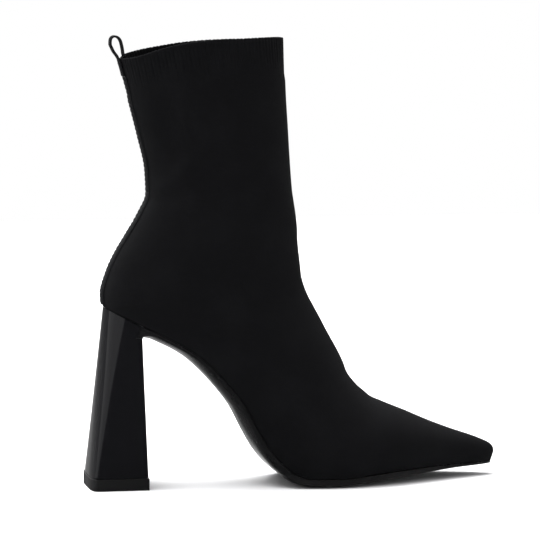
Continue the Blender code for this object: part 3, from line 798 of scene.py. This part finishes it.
MATERIALS = {
    "knit": cloth_material(
        "black_knit",
        "knit",
        {"Wale": WALE, "Course": COURSE},
        yarn=(0.0043, 0.0044, 0.0050, 1),
        worn=(0.0072, 0.0074, 0.0083, 1),
        relief=0.00012,
        roughness=0.92,
        sheen=0.006,
    ),
    "ribbon": cloth_material(
        "black_tape",
        "ribbon",
        {"Pitch": 0.0006, "Half width": TAPE_WIDTH / 2},
        yarn=(0.0085, 0.0086, 0.0095, 1),
        worn=(0.0140, 0.0142, 0.0155, 1),
        relief=0.00012,
        roughness=0.75,
        sheen=0.015,
    ),
    "lining": cloth_material(
        "sock_lining",
        "knit",
        {"Wale": 0.0007, "Course": 0.0007},
        yarn=(0.0090, 0.0090, 0.0092, 1),
        worn=(0.0150, 0.0148, 0.0145, 1),
        relief=0.0001,
        roughness=0.9,
        sheen=0.02,
    ),
    "gloss": handled_material(
        "gloss_black_heel",
        colour=(0.0050, 0.0050, 0.0058, 1),
        dust_colour=(0.05, 0.05, 0.052, 1),
        smooth=0.05,
        rough=0.09,
        dust=0.10,
        grain=(160.0, 0.000004),
        IOR=1.5,
    ),
    "rubber": handled_material(
        "black_rubber",
        colour=(0.0075, 0.0075, 0.0080, 1),
        dust_colour=(0.04, 0.04, 0.04, 1),
        smooth=0.38,
        rough=0.50,
        dust=0.4,
        grain=(1400.0, 0.00003),
    ),
    "sole": handled_material(
        "waxed_sole",
        colour=(0.0070, 0.0070, 0.0075, 1),
        dust_colour=(0.04, 0.04, 0.04, 1),
        smooth=0.20,
        rough=0.30,
        dust=0.12,
        grain=(500.0, 0.00002),
        rubbed=(0.002, 0.009),
        IOR=1.5,
    ),
    "thread": handled_material(
        "black_thread",
        colour=(0.0090, 0.0090, 0.0098, 1),
        dust_colour=(0.02, 0.02, 0.02, 1),
        smooth=0.55,
        rough=0.70,
        dust=0.3,
        grain=(2500.0, 0.00004),
    ),
}


# Meshes


def add_object(name, mesh):
    made = bpy.data.objects.new(name, mesh)
    bpy.context.scene.collection.objects.link(made)
    return made


def plain_mesh(made):
    """Takes the object's modifiers into its mesh."""
    bpy.context.view_layer.update()
    graph = bpy.context.evaluated_depsgraph_get()
    finished = made.evaluated_get(graph)
    mesh = bpy.data.meshes.new_from_object(finished, preserve_all_data_layers=True, depsgraph=graph)
    made.modifiers.clear()
    made.data = mesh
    return made


def starts_of(rows):
    """Number of each row's first point among all the points, and of the one after the last."""
    return np.concatenate([[0], np.cumsum([len(row) for row in rows])]).astype(int)


def lofted(name, rows, places, closed=False, marks=None):
    """A surface through rows of points, moved to the part's place, with each point's place on the cloth.

    A row may have a whole number of times as many steps as the next one. Closed rows make a solid, whose
    ends are closed too. Marks are further values, kept as attributes of the points.
    """
    starts = starts_of(rows)
    faces = []
    for place, (row, after) in enumerate(zip(rows, rows[1:])):
        first, second = starts[place], starts[place + 1]
        steps = len(after) if closed else len(after) - 1
        times = (len(row) if closed else len(row) - 1) // steps
        for k in range(steps):
            n = (k + 1) % len(after)
            across = [first + (k * times + m) % len(row) for m in range(times + 1)]
            faces.append([across[0], second + k, second + n, *across[:0:-1]])
    if closed:
        for start, end in ((starts[0], starts[1] - 1), (starts[-2], starts[-1] - 1)):
            strips = (end - start + 1) // 2 - 1
            faces += [[start + k, start + k + 1, end - 1 - k, end - k] for k in range(strips)]
    mesh = bpy.data.meshes.new(name)
    mesh.from_pydata(np.concatenate(rows) + np.array(SHIFT), [], faces)
    cloth = mesh.uv_layers.new(name="cloth")
    corners = np.zeros(len(mesh.loops), int)
    mesh.loops.foreach_get("vertex_index", corners)
    cloth.data.foreach_set("uv", np.concatenate(places)[corners].astype(np.float32).ravel())
    for label, values in (marks or {}).items():
        mark = mesh.attributes.new(label, "FLOAT", "POINT")
        mark.data.foreach_set("value", np.concatenate(values).astype(np.float32))
    work = bmesh.new()
    work.from_mesh(mesh)
    bmesh.ops.remove_doubles(work, verts=work.verts, dist=2e-6)
    bmesh.ops.dissolve_degenerate(work, edges=work.edges, dist=1e-7)
    if closed:
        bmesh.ops.recalc_face_normals(work, faces=work.faces)
    work.to_mesh(mesh)
    work.free()
    mesh.shade_smooth()
    return add_object(name, mesh)


def vectors(mesh, values, name):
    read = np.empty(len(mesh.vertices) * 3, np.float32)
    values.foreach_get(name, read)
    return read.reshape(-1, 3).astype(float)


def soften(made, width, angle, segments=3):
    """Rounds the edges that are sharper than an angle."""
    edge = made.modifiers.new("Edges", "BEVEL")
    edge.width = width
    edge.segments = segments
    edge.limit_method = "ANGLE"
    edge.angle_limit = math.radians(angle)
    edge.miter_outer = "MITER_ARC"
    plain_mesh(made)
    made.data.shade_smooth()
    made.data.set_sharp_from_angle(angle=math.radians(angle))


def set_input(modifier, label, value):
    """Sets a Geometry Nodes input by the identifier of its socket."""
    for item in modifier.node_group.interface.items_tree:
        if item.item_type == "SOCKET" and item.in_out == "INPUT" and item.name == label:
            modifier[item.identifier] = value


def grow(made, group, **values):
    """Runs a Geometry Nodes tree on an object and keeps the result as its plain mesh."""
    nodes = made.modifiers.new(group.name, "NODES")
    nodes.node_group = group
    for label, value in values.items():
        set_input(nodes, label.replace("_", " "), value)
    return plain_mesh(made)


def dress(made, slot, material, *nodes):
    if not made.data.materials:
        made.data.materials.append(MATERIALS[material])
    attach(made, "root")
    if nodes:
        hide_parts(*nodes)
    return made


def realised(tree, geometry, yarn):
    """How each Geometry Nodes tree ends: plain geometry with its yarn's material."""
    real = tree.node("GeometryNodeRealizeInstances", geometry).outputs[0]
    return tree.node("GeometryNodeSetMaterial", real, named={"Material": yarn}).outputs[0]


# The knit sock


def rib_nodes():
    """Presses the grooves between the ribs of the cuff into its wall."""
    tree, given, out = new_group(
        "Cuff ribs",
        "GeometryNodeTree",
        [
            ("Geometry", "Geometry"),
            ("Groove", "Float", RIB_GROOVE),
            ("Fine groove", "Float", FINE_GROOVE),
            ("Half width", "Float", RIB_HALF_WIDTH),
            ("Yarn", "Material"),
        ],
        [("Geometry", "Geometry")],
    )
    place, mask = (
        tree.node("GeometryNodeInputNamedAttribute", label, data_type="FLOAT").outputs[0]
        for label in ("rib_place", "rib_mask")
    )
    between = tree.math("PINGPONG", place, 0.5)
    within = tree.math("PINGPONG", tree.math("ADD", place, 0.5), 0.5)
    main, fine = (
        tree.math("MULTIPLY", tree.ramp(distance, 0.0, given["Half width"], 1.0, 0.0), given[depth])
        for distance, depth in ((between, "Groove"), (within, "Fine groove"))
    )
    depth = tree.math("MULTIPLY", tree.math("ADD", main, fine), tree.math("MULTIPLY", mask, -1.0))
    normal = tree.node("GeometryNodeInputNormal").outputs[0]
    offset = tree.node("ShaderNodeVectorMath", normal, operation="SCALE", named={"Scale": depth}).outputs[0]
    pressed = tree.node("GeometryNodeSetPosition", given["Geometry"], named={"Offset": offset}).outputs[0]
    tree.feed(out["Geometry"], realised(tree, pressed, given["Yarn"]))
    return tree.tree


def knit_runs():
    """Runs of the cuff's rows and of the rows below it, closer together at the seat and at the toe."""
    cuff = np.linspace(0, CUFF_HEIGHT, CUFF_ROWS)
    start = CUFF_HEIGHT + CUFF_RAMP
    shaft = np.linspace(start, upper.seat_run, round((upper.seat_run - start) / ROW_STEP))
    steps = round((upper.runs[-1] - upper.seat_run) / ROW_STEP)
    foot = np.linspace(upper.seat_run, upper.runs[-1], steps)[1:]
    close = ROW_STEP * np.array(CLOSE_ROWS)
    near_ends = upper.run_at_along(np.concatenate([close, bed.length - close]))
    foot = np.unique(np.concatenate([foot, near_ends]))
    return cuff, np.concatenate([shaft, foot])


def press_creases(mesh):
    """Moves the knit in and out along its creases, and lets it wave a little."""
    place = vectors(mesh, mesh.vertices, "co")
    normal = vectors(mesh, mesh.vertex_normals, "vector")
    seat = place - np.array(SHIFT)
    lift = np.array([noise.noise(Vector(point) / WAVE_SIZE) for point in place]) * WAVINESS
    below_collar = smooth_step(0.0, WAVE_FADE, COLLAR_BACK_HEIGHT + WAVE_END - seat[:, 2])
    near_toe = smooth_step(CALM_TOE, 1.0, seat[:, 0] / LENGTH)
    lift *= below_collar * (1 - near_toe)
    for row in CREASES:
        crease = dict(zip(CREASE_COLUMNS, row))
        start = np.array([crease["x0"] * LENGTH, crease["z0"] * COLLAR_FRONT_HEIGHT])
        end = np.array([crease["x1"] * LENGTH, crease["z1"] * COLLAR_FRONT_HEIGHT])
        way = end - start
        size = np.linalg.norm(way)
        offset = seat[:, ::2] - start
        along = offset @ way / size**2
        across = (offset[:, 0] * way[1] - offset[:, 1] * way[0]) / size
        ends = smooth_step(*CREASE_ENDS, along) * smooth_step(*CREASE_ENDS, 1 - along)
        shape = np.exp(-((across * 1000 / crease["half_width"]) ** 2))
        on_side = smooth_step(*CREASE_SIDE, crease["side"] * seat[:, 1]) if crease["side"] else 1.0
        lift += crease["height"] / 1000 * shape * ends * on_side
    mesh.vertices.foreach_set("co", (place + normal * lift[:, None]).astype(np.float32).ravel())
    mesh.update()


def round_collar(mesh):
    """Rounds the rim of the collar and takes the rim's own material away."""
    work = bmesh.new()
    work.from_mesh(mesh)
    lowest = COLLAR_BACK_HEIGHT - RIM_ZONE
    ends = [face for face in work.faces if face.material_index == 1]
    rim = {face for face in ends if face.calc_center_median().z > lowest}
    edges = [edge for face in rim for edge in face.edges if not rim.issuperset(edge.link_faces)]
    bmesh.ops.bevel(work, geom=edges, offset=WALL * RIM_ROUNDING, segments=3, profile=0.5, affect="EDGES")
    for face in work.faces:
        face.material_index = 0
    work.to_mesh(mesh)
    work.free()


def knit_sock():
    cuff, below = knit_runs()
    half_cuff = CUFF_RIBS * COLUMNS_PER_RIB // 2
    counts = [half_cuff] * len(cuff) + [half_cuff // COARSENING] * len(below)
    rows, places, ribs, masks = [], [], [], []
    for run, count in zip(np.concatenate([cuff, below]), counts):
        outer, outer_reach = upper.even_row(run, OUTER, count)
        inner, inner_reach = upper.even_row(run, INNER, count)
        rows.append(np.concatenate([outer[::-1], inner[1:]]))
        around = np.concatenate([-outer_reach[::-1], inner_reach[1:]])
        places.append(np.stack([around, np.full(len(around), run)], axis=1))
        share = np.abs(np.arange(len(around)) - count) / count
        ribs.append(share * CUFF_RIBS / 2)
        masks.append(np.full(len(around), 1 - smooth_step(CUFF_HEIGHT * RIB_FADE, CUFF_HEIGHT, run)))
    made = lofted("knit_sock", rows, places, marks={"rib_place": ribs, "rib_mask": masks})
    press_creases(made.data)
    for _ in range(2):
        made.data.materials.append(MATERIALS["knit"])
    wall = made.modifiers.new("Wall", "SOLIDIFY")
    wall.thickness = WALL
    wall.offset = -1
    wall.material_offset_rim = 1
    plain_mesh(made)
    round_collar(made.data)
    made.data.materials.clear()
    grow(made, rib_nodes(), Yarn=MATERIALS["knit"])
    made.data.shade_smooth()
    return dress(made, "knit", "knit", "upper")


# Tape, loop and stitches


def stitch_nodes():
    """Lays a stitch at each step along lines."""
    tree, given, out = new_group(
        "Stitch run",
        "GeometryNodeTree",
        [
            ("Geometry", "Geometry"),
            ("Pitch", "Float", STITCH_PITCH),
            ("Length", "Float", STITCH_LENGTH),
            ("Thread", "Float", THREAD),
            ("Yarn", "Material"),
        ],
        [("Geometry", "Geometry")],
    )
    line = tree.node("GeometryNodeMeshToCurve", given["Geometry"]).outputs[0]
    stepped = tree.node("GeometryNodeResampleCurve", mode="LENGTH")
    tree.feed(stepped.inputs["Curve"], line)
    tree.feed(stepped.inputs["Length"], given["Pitch"])
    way = tree.node("GeometryNodeInputTangent").outputs[0]
    turned = tree.node("FunctionNodeAlignEulerToVector", axis="X", named={"Vector": way}).outputs[0]
    fineness = {"Segments": 8, "Rings": 6, "Radius": 0.5}
    ball = tree.node("GeometryNodeMeshUVSphere", named=fineness).outputs[0]
    size = tree.node("ShaderNodeCombineXYZ", given["Length"], given["Thread"], given["Thread"]).outputs[0]
    stitch = tree.node("GeometryNodeTransform", ball, named={"Scale": size}).outputs[0]
    smooth = tree.node("GeometryNodeSetShadeSmooth", stitch).outputs[0]
    copies = {"Points": stepped.outputs[0], "Instance": smooth, "Rotation": turned}
    laid = tree.node("GeometryNodeInstanceOnPoints", named=copies).outputs[0]
    tree.feed(out["Geometry"], realised(tree, laid, given["Yarn"]))
    return tree.tree


def stitched(name, lines, group):
    """Stitches along lines of points, as one piece."""
    starts = starts_of(lines)
    edges = [(k, k + 1) for start, after in zip(starts, starts[1:]) for k in range(start, after - 1)]
    mesh = bpy.data.meshes.new(name)
    mesh.from_pydata(np.concatenate(lines) + np.array(SHIFT), edges, [])
    made = grow(add_object(name, mesh), group, Yarn=MATERIALS["thread"])
    return dress(made, "ribbon", "thread")


def tape_section():
    """Section of the tape, which thins towards its edges, as offsets across and up, once round."""
    across = np.linspace(-0.5, 0.5, TAPE_STEPS + 1) * TAPE_WIDTH
    inward = (TAPE_WIDTH / 2 - np.abs(across)) / TAPE_BEVEL
    top = TAPE_THICKNESS * (TAPE_RIM + (1 - TAPE_RIM) * smooth_step(0, 1, inward))
    return [(y, 0.0) for y in across] + [*zip(across[::-1], top[::-1])]


def backstay_tape():
    runs = np.arange(loop_foot_run + CLEARANCE, upper.seat_run - CLEARANCE, TAPE_ROW_STEP)
    section = tape_section()
    rows = [np.array([upper.back_point(run, y, CLEARANCE + lift) for y, lift in section]) for run in runs]
    places = [np.array([(y, run) for y, _ in section]) for run in runs]
    made = lofted("backstay_tape", rows, places, closed=True)
    made.data.set_sharp_from_angle(angle=math.radians(SHARP_ANGLE))
    return dress(made, "ribbon", "ribbon", "backstay")


def tape_stitches(group):
    runs = np.arange(loop_foot_run + STITCH_MARGIN, upper.seat_run - STITCH_MARGIN, TAPE_ROW_STEP)
    lift = CLEARANCE + TAPE_THICKNESS
    lines = [
        np.array([upper.back_point(run, side * (TAPE_WIDTH / 2 - STITCH_INSET), lift) for run in runs])
        for side in (OUTER, INNER)
    ]
    return stitched("tape_stitches", lines, group)


def loop_rows():
    """Closed rows of the ribbon loop, from its outer foot over the collar to its inner foot."""
    offsets = np.linspace(-0.5, 0.5, LOOP_POINTS) * LOOP_WIDTH
    rim = upper.back_point(0, 0)
    bow = np.array([upper.back_point(0, y)[0] - rim[0] for y in offsets])
    outer_lifts = (CLEARANCE, CLEARANCE + LOOP_THICKNESS)
    inner_lifts = (-WALL - CLEARANCE, -WALL - CLEARANCE - LOOP_THICKNESS)

    def foot_rows(lifts, first, last):
        return [
            np.array(
                [upper.back_point(run, y, lifts[0]) for y in offsets]
                + [upper.back_point(run, y, lifts[1]) for y in offsets[::-1]]
            )
            for run in loop_foot_run * np.linspace(first, last, LOOP_FOOT_ROWS)
        ]

    ends = [upper.back_point(0, 0, sum(lifts) / 2)[::2] for lifts in (outer_lifts, inner_lifts)]
    free = [(rim[0] + reach * LOOP_REACH, rim[2] + rise * LOOP_HEIGHT) for reach, rise in LOOP]
    path = np.array([ends[0], *free, ends[1]])
    runs = distances(path)
    rows = foot_rows(outer_lifts, 1, 0)
    for place in np.linspace(runs[0], runs[-1], LOOP_FREE_ROWS)[2:-2]:
        x, z = (through(runs, line, place) for line in path.T)
        near = np.array([place - LOOP_THICKNESS / 4, place + LOOP_THICKNESS / 4])
        ahead_x, ahead_z = (np.diff(through(runs, line, near))[0] for line in path.T)
        to_edge = LOOP_THICKNESS / 2 / math.hypot(ahead_x, ahead_z)
        lean = bow * max(1 - (z - rim[2]) / LOOP_HEIGHT, 0)
        faces = []
        for turn in (1, -1):
            face_x = x + turn * ahead_z * to_edge + lean
            face_z = np.full(LOOP_POINTS, z - turn * ahead_x * to_edge)
            faces.append(np.stack([face_x, offsets, face_z], axis=1))
        rows.append(np.concatenate([faces[0], faces[1][::-1]]))
    return rows + foot_rows(inner_lifts, 0, 1), offsets


def pull_loop_ribbon():
    rows, offsets = loop_rows()
    along = distances(np.array([row.mean(axis=0) for row in rows]))
    across = np.concatenate([offsets, offsets[::-1]])
    places = [np.stack([across, np.full(len(across), distance)], axis=1) for distance in along]
    made = lofted("pull_loop_ribbon", rows, places, closed=True)
    soften(made, LOOP_ROUNDING, SHARP_ANGLE, segments=2)
    return dress(made, "ribbon", "ribbon", "pull_loop")


def loop_stitches(group):
    """A bar of stitches near the bottom of the loop's outer foot, and one below the rim."""
    lift = CLEARANCE + LOOP_THICKNESS
    offsets = np.linspace(-0.5, 0.5, LOOP_POINTS) * (LOOP_WIDTH - 2 * STITCH_INSET)
    runs = [loop_foot_run * share for share in LOOP_BARS]
    lines = [np.array([upper.back_point(run, y, lift) for y in offsets]) for run in runs]
    return stitched("loop_stitches", lines, group)


# Heel and sole


def heel_top(x):
    return bed.point(bed.at_x(x), 0, -CLEARANCE)[2]


def breast_x(z):
    """The heel's flat front face at a height."""
    low, high = LIFT_THICKNESS + CLEARANCE, heel_top(HEEL_TOP_DEPTH)
    foot = HEEL_BOTTOM_DEPTH - HEEL_BACK_RAKE
    return foot + (HEEL_TOP_DEPTH - foot) * (z - low) / (high - low)


def heel_outline(share):
    """Half of the heel's section at a share of its height, from the middle of its back to its front face."""
    seat_half = bed.half_width(OUTER, bed.length * SEAT_ROUND) - HEEL_INSET
    power = 2 / HEEL_BOTTOM_SQUARENESS
    top, bottom = [], []
    for turn in np.linspace(0, 1, BOW_POINTS):
        swept = HEEL_ARRIS_ANGLE * turn
        top.append((bed.x[0] + seat_half * (1 - math.cos(swept)), seat_half * math.sin(swept)))
        swept = math.pi / 2 * turn
        corner = HEEL_BOTTOM_CORNER * (1 - math.cos(swept) ** power) - HEEL_BACK_RAKE
        bottom.append((corner, HEEL_BOTTOM_WIDTH / 2 * math.sin(swept) ** power))
    ends = (
        (HEEL_TOP_DEPTH, bed.half_width(OUTER, bed.at_x(HEEL_TOP_DEPTH)) - HEEL_INSET),
        (HEEL_BOTTOM_DEPTH - HEEL_BACK_RAKE, HEEL_BOTTOM_WIDTH / 2),
    )
    for line, end in zip((top, bottom), ends):
        start = np.array(line[-1])
        line += [tuple(start + (np.array(end) - start) * along) for along in HEEL_SIDE]
    return [np.array(low) + (np.array(high) - np.array(low)) * share for low, high in zip(bottom, top)]


def ring(half):
    return [(x, -y) for x, y in half] + [(x, y) for x, y in reversed(half)]


def flat_places(rows):
    return [np.asarray(row)[:, :2] for row in rows]


def heel_block():
    foot = LIFT_THICKNESS + CLEARANCE
    rows = []
    for level in HEEL_LEVELS:
        row = [(x, y, foot + (heel_top(x) - foot) * level) for x, y in ring(heel_outline(level))]
        rows.append(np.array(row))
    edge = np.array(ring(heel_outline(1)))
    middle = edge.mean(axis=0)
    for reach in HEEL_RINGS:
        drawn = middle + (edge - middle) * reach
        rows.append(np.array([(x, y, heel_top(x) + camber(reach)) for x, y in drawn]))
    made = lofted("heel_block", rows, flat_places(rows), closed=True)
    soften(made, HEEL_ROUNDING, HEEL_SHARP_ANGLE)
    return dress(made, "gloss", "gloss", "heel")


def top_lift_tip():
    outline = np.array(ring(heel_outline(0)))
    middle = np.array([HEEL_BOTTOM_DEPTH / 2 - HEEL_BACK_RAKE, 0])
    reach = np.array([HEEL_BOTTOM_DEPTH, HEEL_BOTTOM_WIDTH]) / 2
    proud = middle + (outline - middle) * (1 + LIFT_PROUD / reach)
    rows = [np.array([(x, y, z) for x, y in proud]) for z in LIFT_ROWS]
    made = lofted("top_lift_tip", rows, flat_places(rows), closed=True)
    soften(made, LIFT_ROUNDING, SHARP_ANGLE)
    return dress(made, "rubber", "rubber", "top_lift")


def outsole_places(start):
    """Places along the feather line for the sole's rows, closer together at the lip and at the toe."""
    close = ROW_STEP * np.array(CLOSE_ROWS)
    lip = start + LIP_LENGTH * np.array(LIP_ROWS)
    rest = np.arange(start + LIP_LENGTH, bed.length - 2 * close[-1], ROW_STEP)
    return np.concatenate([lip, rest, bed.length - close[::-1], [bed.length]])


def outsole():
    thickness = columns_of(THICKNESS_COLUMNS, THICKNESS)
    section = columns_of(CROWN_COLUMNS, CROWN)
    start = bed.at_x(HEEL_TOP_DEPTH)
    across = np.sin(np.linspace(-1, 1, SOLE_POINTS) * math.pi / 2)
    flat, domed = (through(section["across"], section[name], np.abs(across)) for name in ("flat", "round"))
    edge_shares = np.array(SOLE_EDGE_POINTS)
    rows, places = [], []
    for along in outsole_places(start):
        edge, crown, roundness = (
            through(thickness["along"], thickness[name], along / bed.length)
            for name in ("edge", "crown", "roundness")
        )
        bulge = flat + (domed - flat) * roundness
        left = max(1 - (along - start) / LIP_LENGTH, 0)
        depth = CLEARANCE + SOLE_EDGE * edge + LIP_DEPTH * left**2
        half = [bed.half_width(side, along) for side in (OUTER, INNER)]
        y = bed.swing(along) + across * np.where(across > 0, half[1], half[0])
        bottom = bed.point(along, y, -depth - SOLE_CROWN * crown * bed.toe_round(along) * bulge)
        inner_edge = bed.point(along, y[-1], -CLEARANCE - (depth - CLEARANCE) * edge_shares[::-1])
        outer_edge = bed.point(along, y[0], -CLEARANCE - (depth - CLEARANCE) * edge_shares)
        top = bed.point(along, y, camber(across) - CLEARANCE)
        row = np.concatenate([bottom, inner_edge, top[::-1], outer_edge])
        if along == start:
            row[:, 0] = [breast_x(z) + CLEARANCE for z in row[:, 2]]
        row = np.roll(row, STRIP_TURN, axis=0)
        rows.append(row)
        places.append(np.stack([row[:, 1], np.full(len(row), along)], axis=1))
    made = lofted("outsole_shell", rows, places, closed=True)
    soften(made, SOLE_ROUNDING, SHARP_ANGLE)
    return dress(made, "rubber", "sole", "outsole")


def insole_board():
    inset = WALL + CLEARANCE
    ends = (inset, bed.length - inset)
    close = ROW_STEP * np.array(INSOLE_CLOSE_ROWS)
    middle = np.arange(ends[0] + ROW_STEP, ends[1] - ROW_STEP, INSOLE_ROW_STEP)
    rows, places = [], []
    across = np.linspace(-1, 1, INSOLE_POINTS)
    for along in np.concatenate([[ends[0]], ends[0] + close, middle, ends[1] - close[::-1], [ends[1]]]):
        half = [float(bed.half_width(side, along, inset)) for side in (OUTER, INNER)]
        y = bed.swing(along) + across * np.where(across > 0, half[1], half[0])
        thickness = INSOLE_THICKNESS * (1 - INSOLE_THINNING * np.abs(across) ** INSOLE_EDGE_POWER)
        row = np.concatenate([bed.point(along, y, camber(across)), bed.point(along, y, thickness)[::-1]])
        rows.append(row)
        places.append(np.stack([row[:, 1], np.full(len(row), along)], axis=1))
    made = lofted("insole_board", rows, places, closed=True)
    made.data.set_sharp_from_angle(angle=math.radians(SHARP_ANGLE))
    return dress(made, "lining", "lining", "insole")


# Studio


def studio_floor():
    work = bmesh.new()
    bmesh.ops.create_grid(work, x_segments=4, y_segments=4, size=FLOOR_HALF_SIZE)
    mesh = bpy.data.meshes.new("studio_floor")
    work.to_mesh(mesh)
    work.free()
    made = add_object("studio_floor", mesh)
    paper, _, shader = new_material("pale_paper", Roughness=0.95)
    shader["Base Color"].default_value = PAPER
    shader["Specular IOR Level"].default_value = 0.0
    mesh.materials.append(paper)
    made.visible_glossy = False


def soft_light(name, place, size, power):
    light = bpy.data.lights.new(name, "AREA")
    light.shape = "RECTANGLE"
    light.size, light.size_y = size
    light.energy = power
    made = bpy.data.objects.new(name, light)
    made.location = place
    made.rotation_euler = (LIT_POINT - Vector(place)).to_track_quat("-Z", "Y").to_euler()
    bpy.context.scene.collection.objects.link(made)


def studio_world():
    """White to the camera, and an even pale dome to cloth and floor.

    What gloss mirrors is a room that is white behind the boot, darker to its left, and dark in front and
    below.
    """
    world = bpy.data.worlds.new("studio")
    bpy.context.scene.world = world
    world.use_nodes = True
    tree = Tree(world.node_tree)
    background = world.node_tree.nodes["Background"].inputs
    way = tree.node("ShaderNodeSeparateXYZ", tree.node("ShaderNodeTexCoord").outputs["Generated"]).outputs
    behind = tree.ramp(way[1], *ROOM_BEHIND)
    left = tree.ramp(way[0], *ROOM_SIDE, ROOM_LEFT, 1.0)
    above = tree.ramp(way[2], *ROOM_LOW)
    bright = tree.math("MULTIPLY", tree.math("MULTIPLY", behind, left), above)
    room = tree.mix(bright, ROOM_DARK, WHITE)
    path = tree.node("ShaderNodeLightPath").outputs
    lit = tree.mix(path["Is Glossy Ray"], (DOME, DOME, DOME, 1), room)
    tree.feed(background["Color"], tree.mix(path["Is Camera Ray"], lit, WHITE))
    background["Strength"].default_value = 1.0


def studio():
    studio_floor()
    studio_world()
    soft_light("top_light", (-0.5, 0.4, 2.1), (2.5, 2.1), 150)
    soft_light("left_light", (-1.75, -0.15, 0.75), (2.3, 1.5), 4.5)
    soft_light("right_light", (1.9, -0.1, 0.8), (1.9, 1.5), 9)
    scene = bpy.context.scene
    scene.view_settings.view_transform = "Standard"
    lens = bpy.data.cameras.new("camera")
    lens.lens = CAMERA_LENS
    lens.sensor_width = SENSOR_WIDTH
    lens.clip_end = CLIP_END
    camera = bpy.data.objects.new("camera", lens)
    back = Vector((-math.sin(CAMERA_TURN), -math.cos(CAMERA_TURN), 0)) * CAMERA_DISTANCE
    camera.location = (AIM.x + back.x, AIM.y + back.y, CAMERA_HEIGHT)
    camera.rotation_euler = (AIM - camera.location).to_track_quat("-Z", "Y").to_euler()
    scene.collection.objects.link(camera)
    scene.camera = camera


knit_sock()
backstay_tape()
pull_loop_ribbon()
stitches = stitch_nodes()
tape_stitches(stitches)
loop_stitches(stitches)
heel_block()
top_lift_tip()
outsole()
insole_board()
studio()
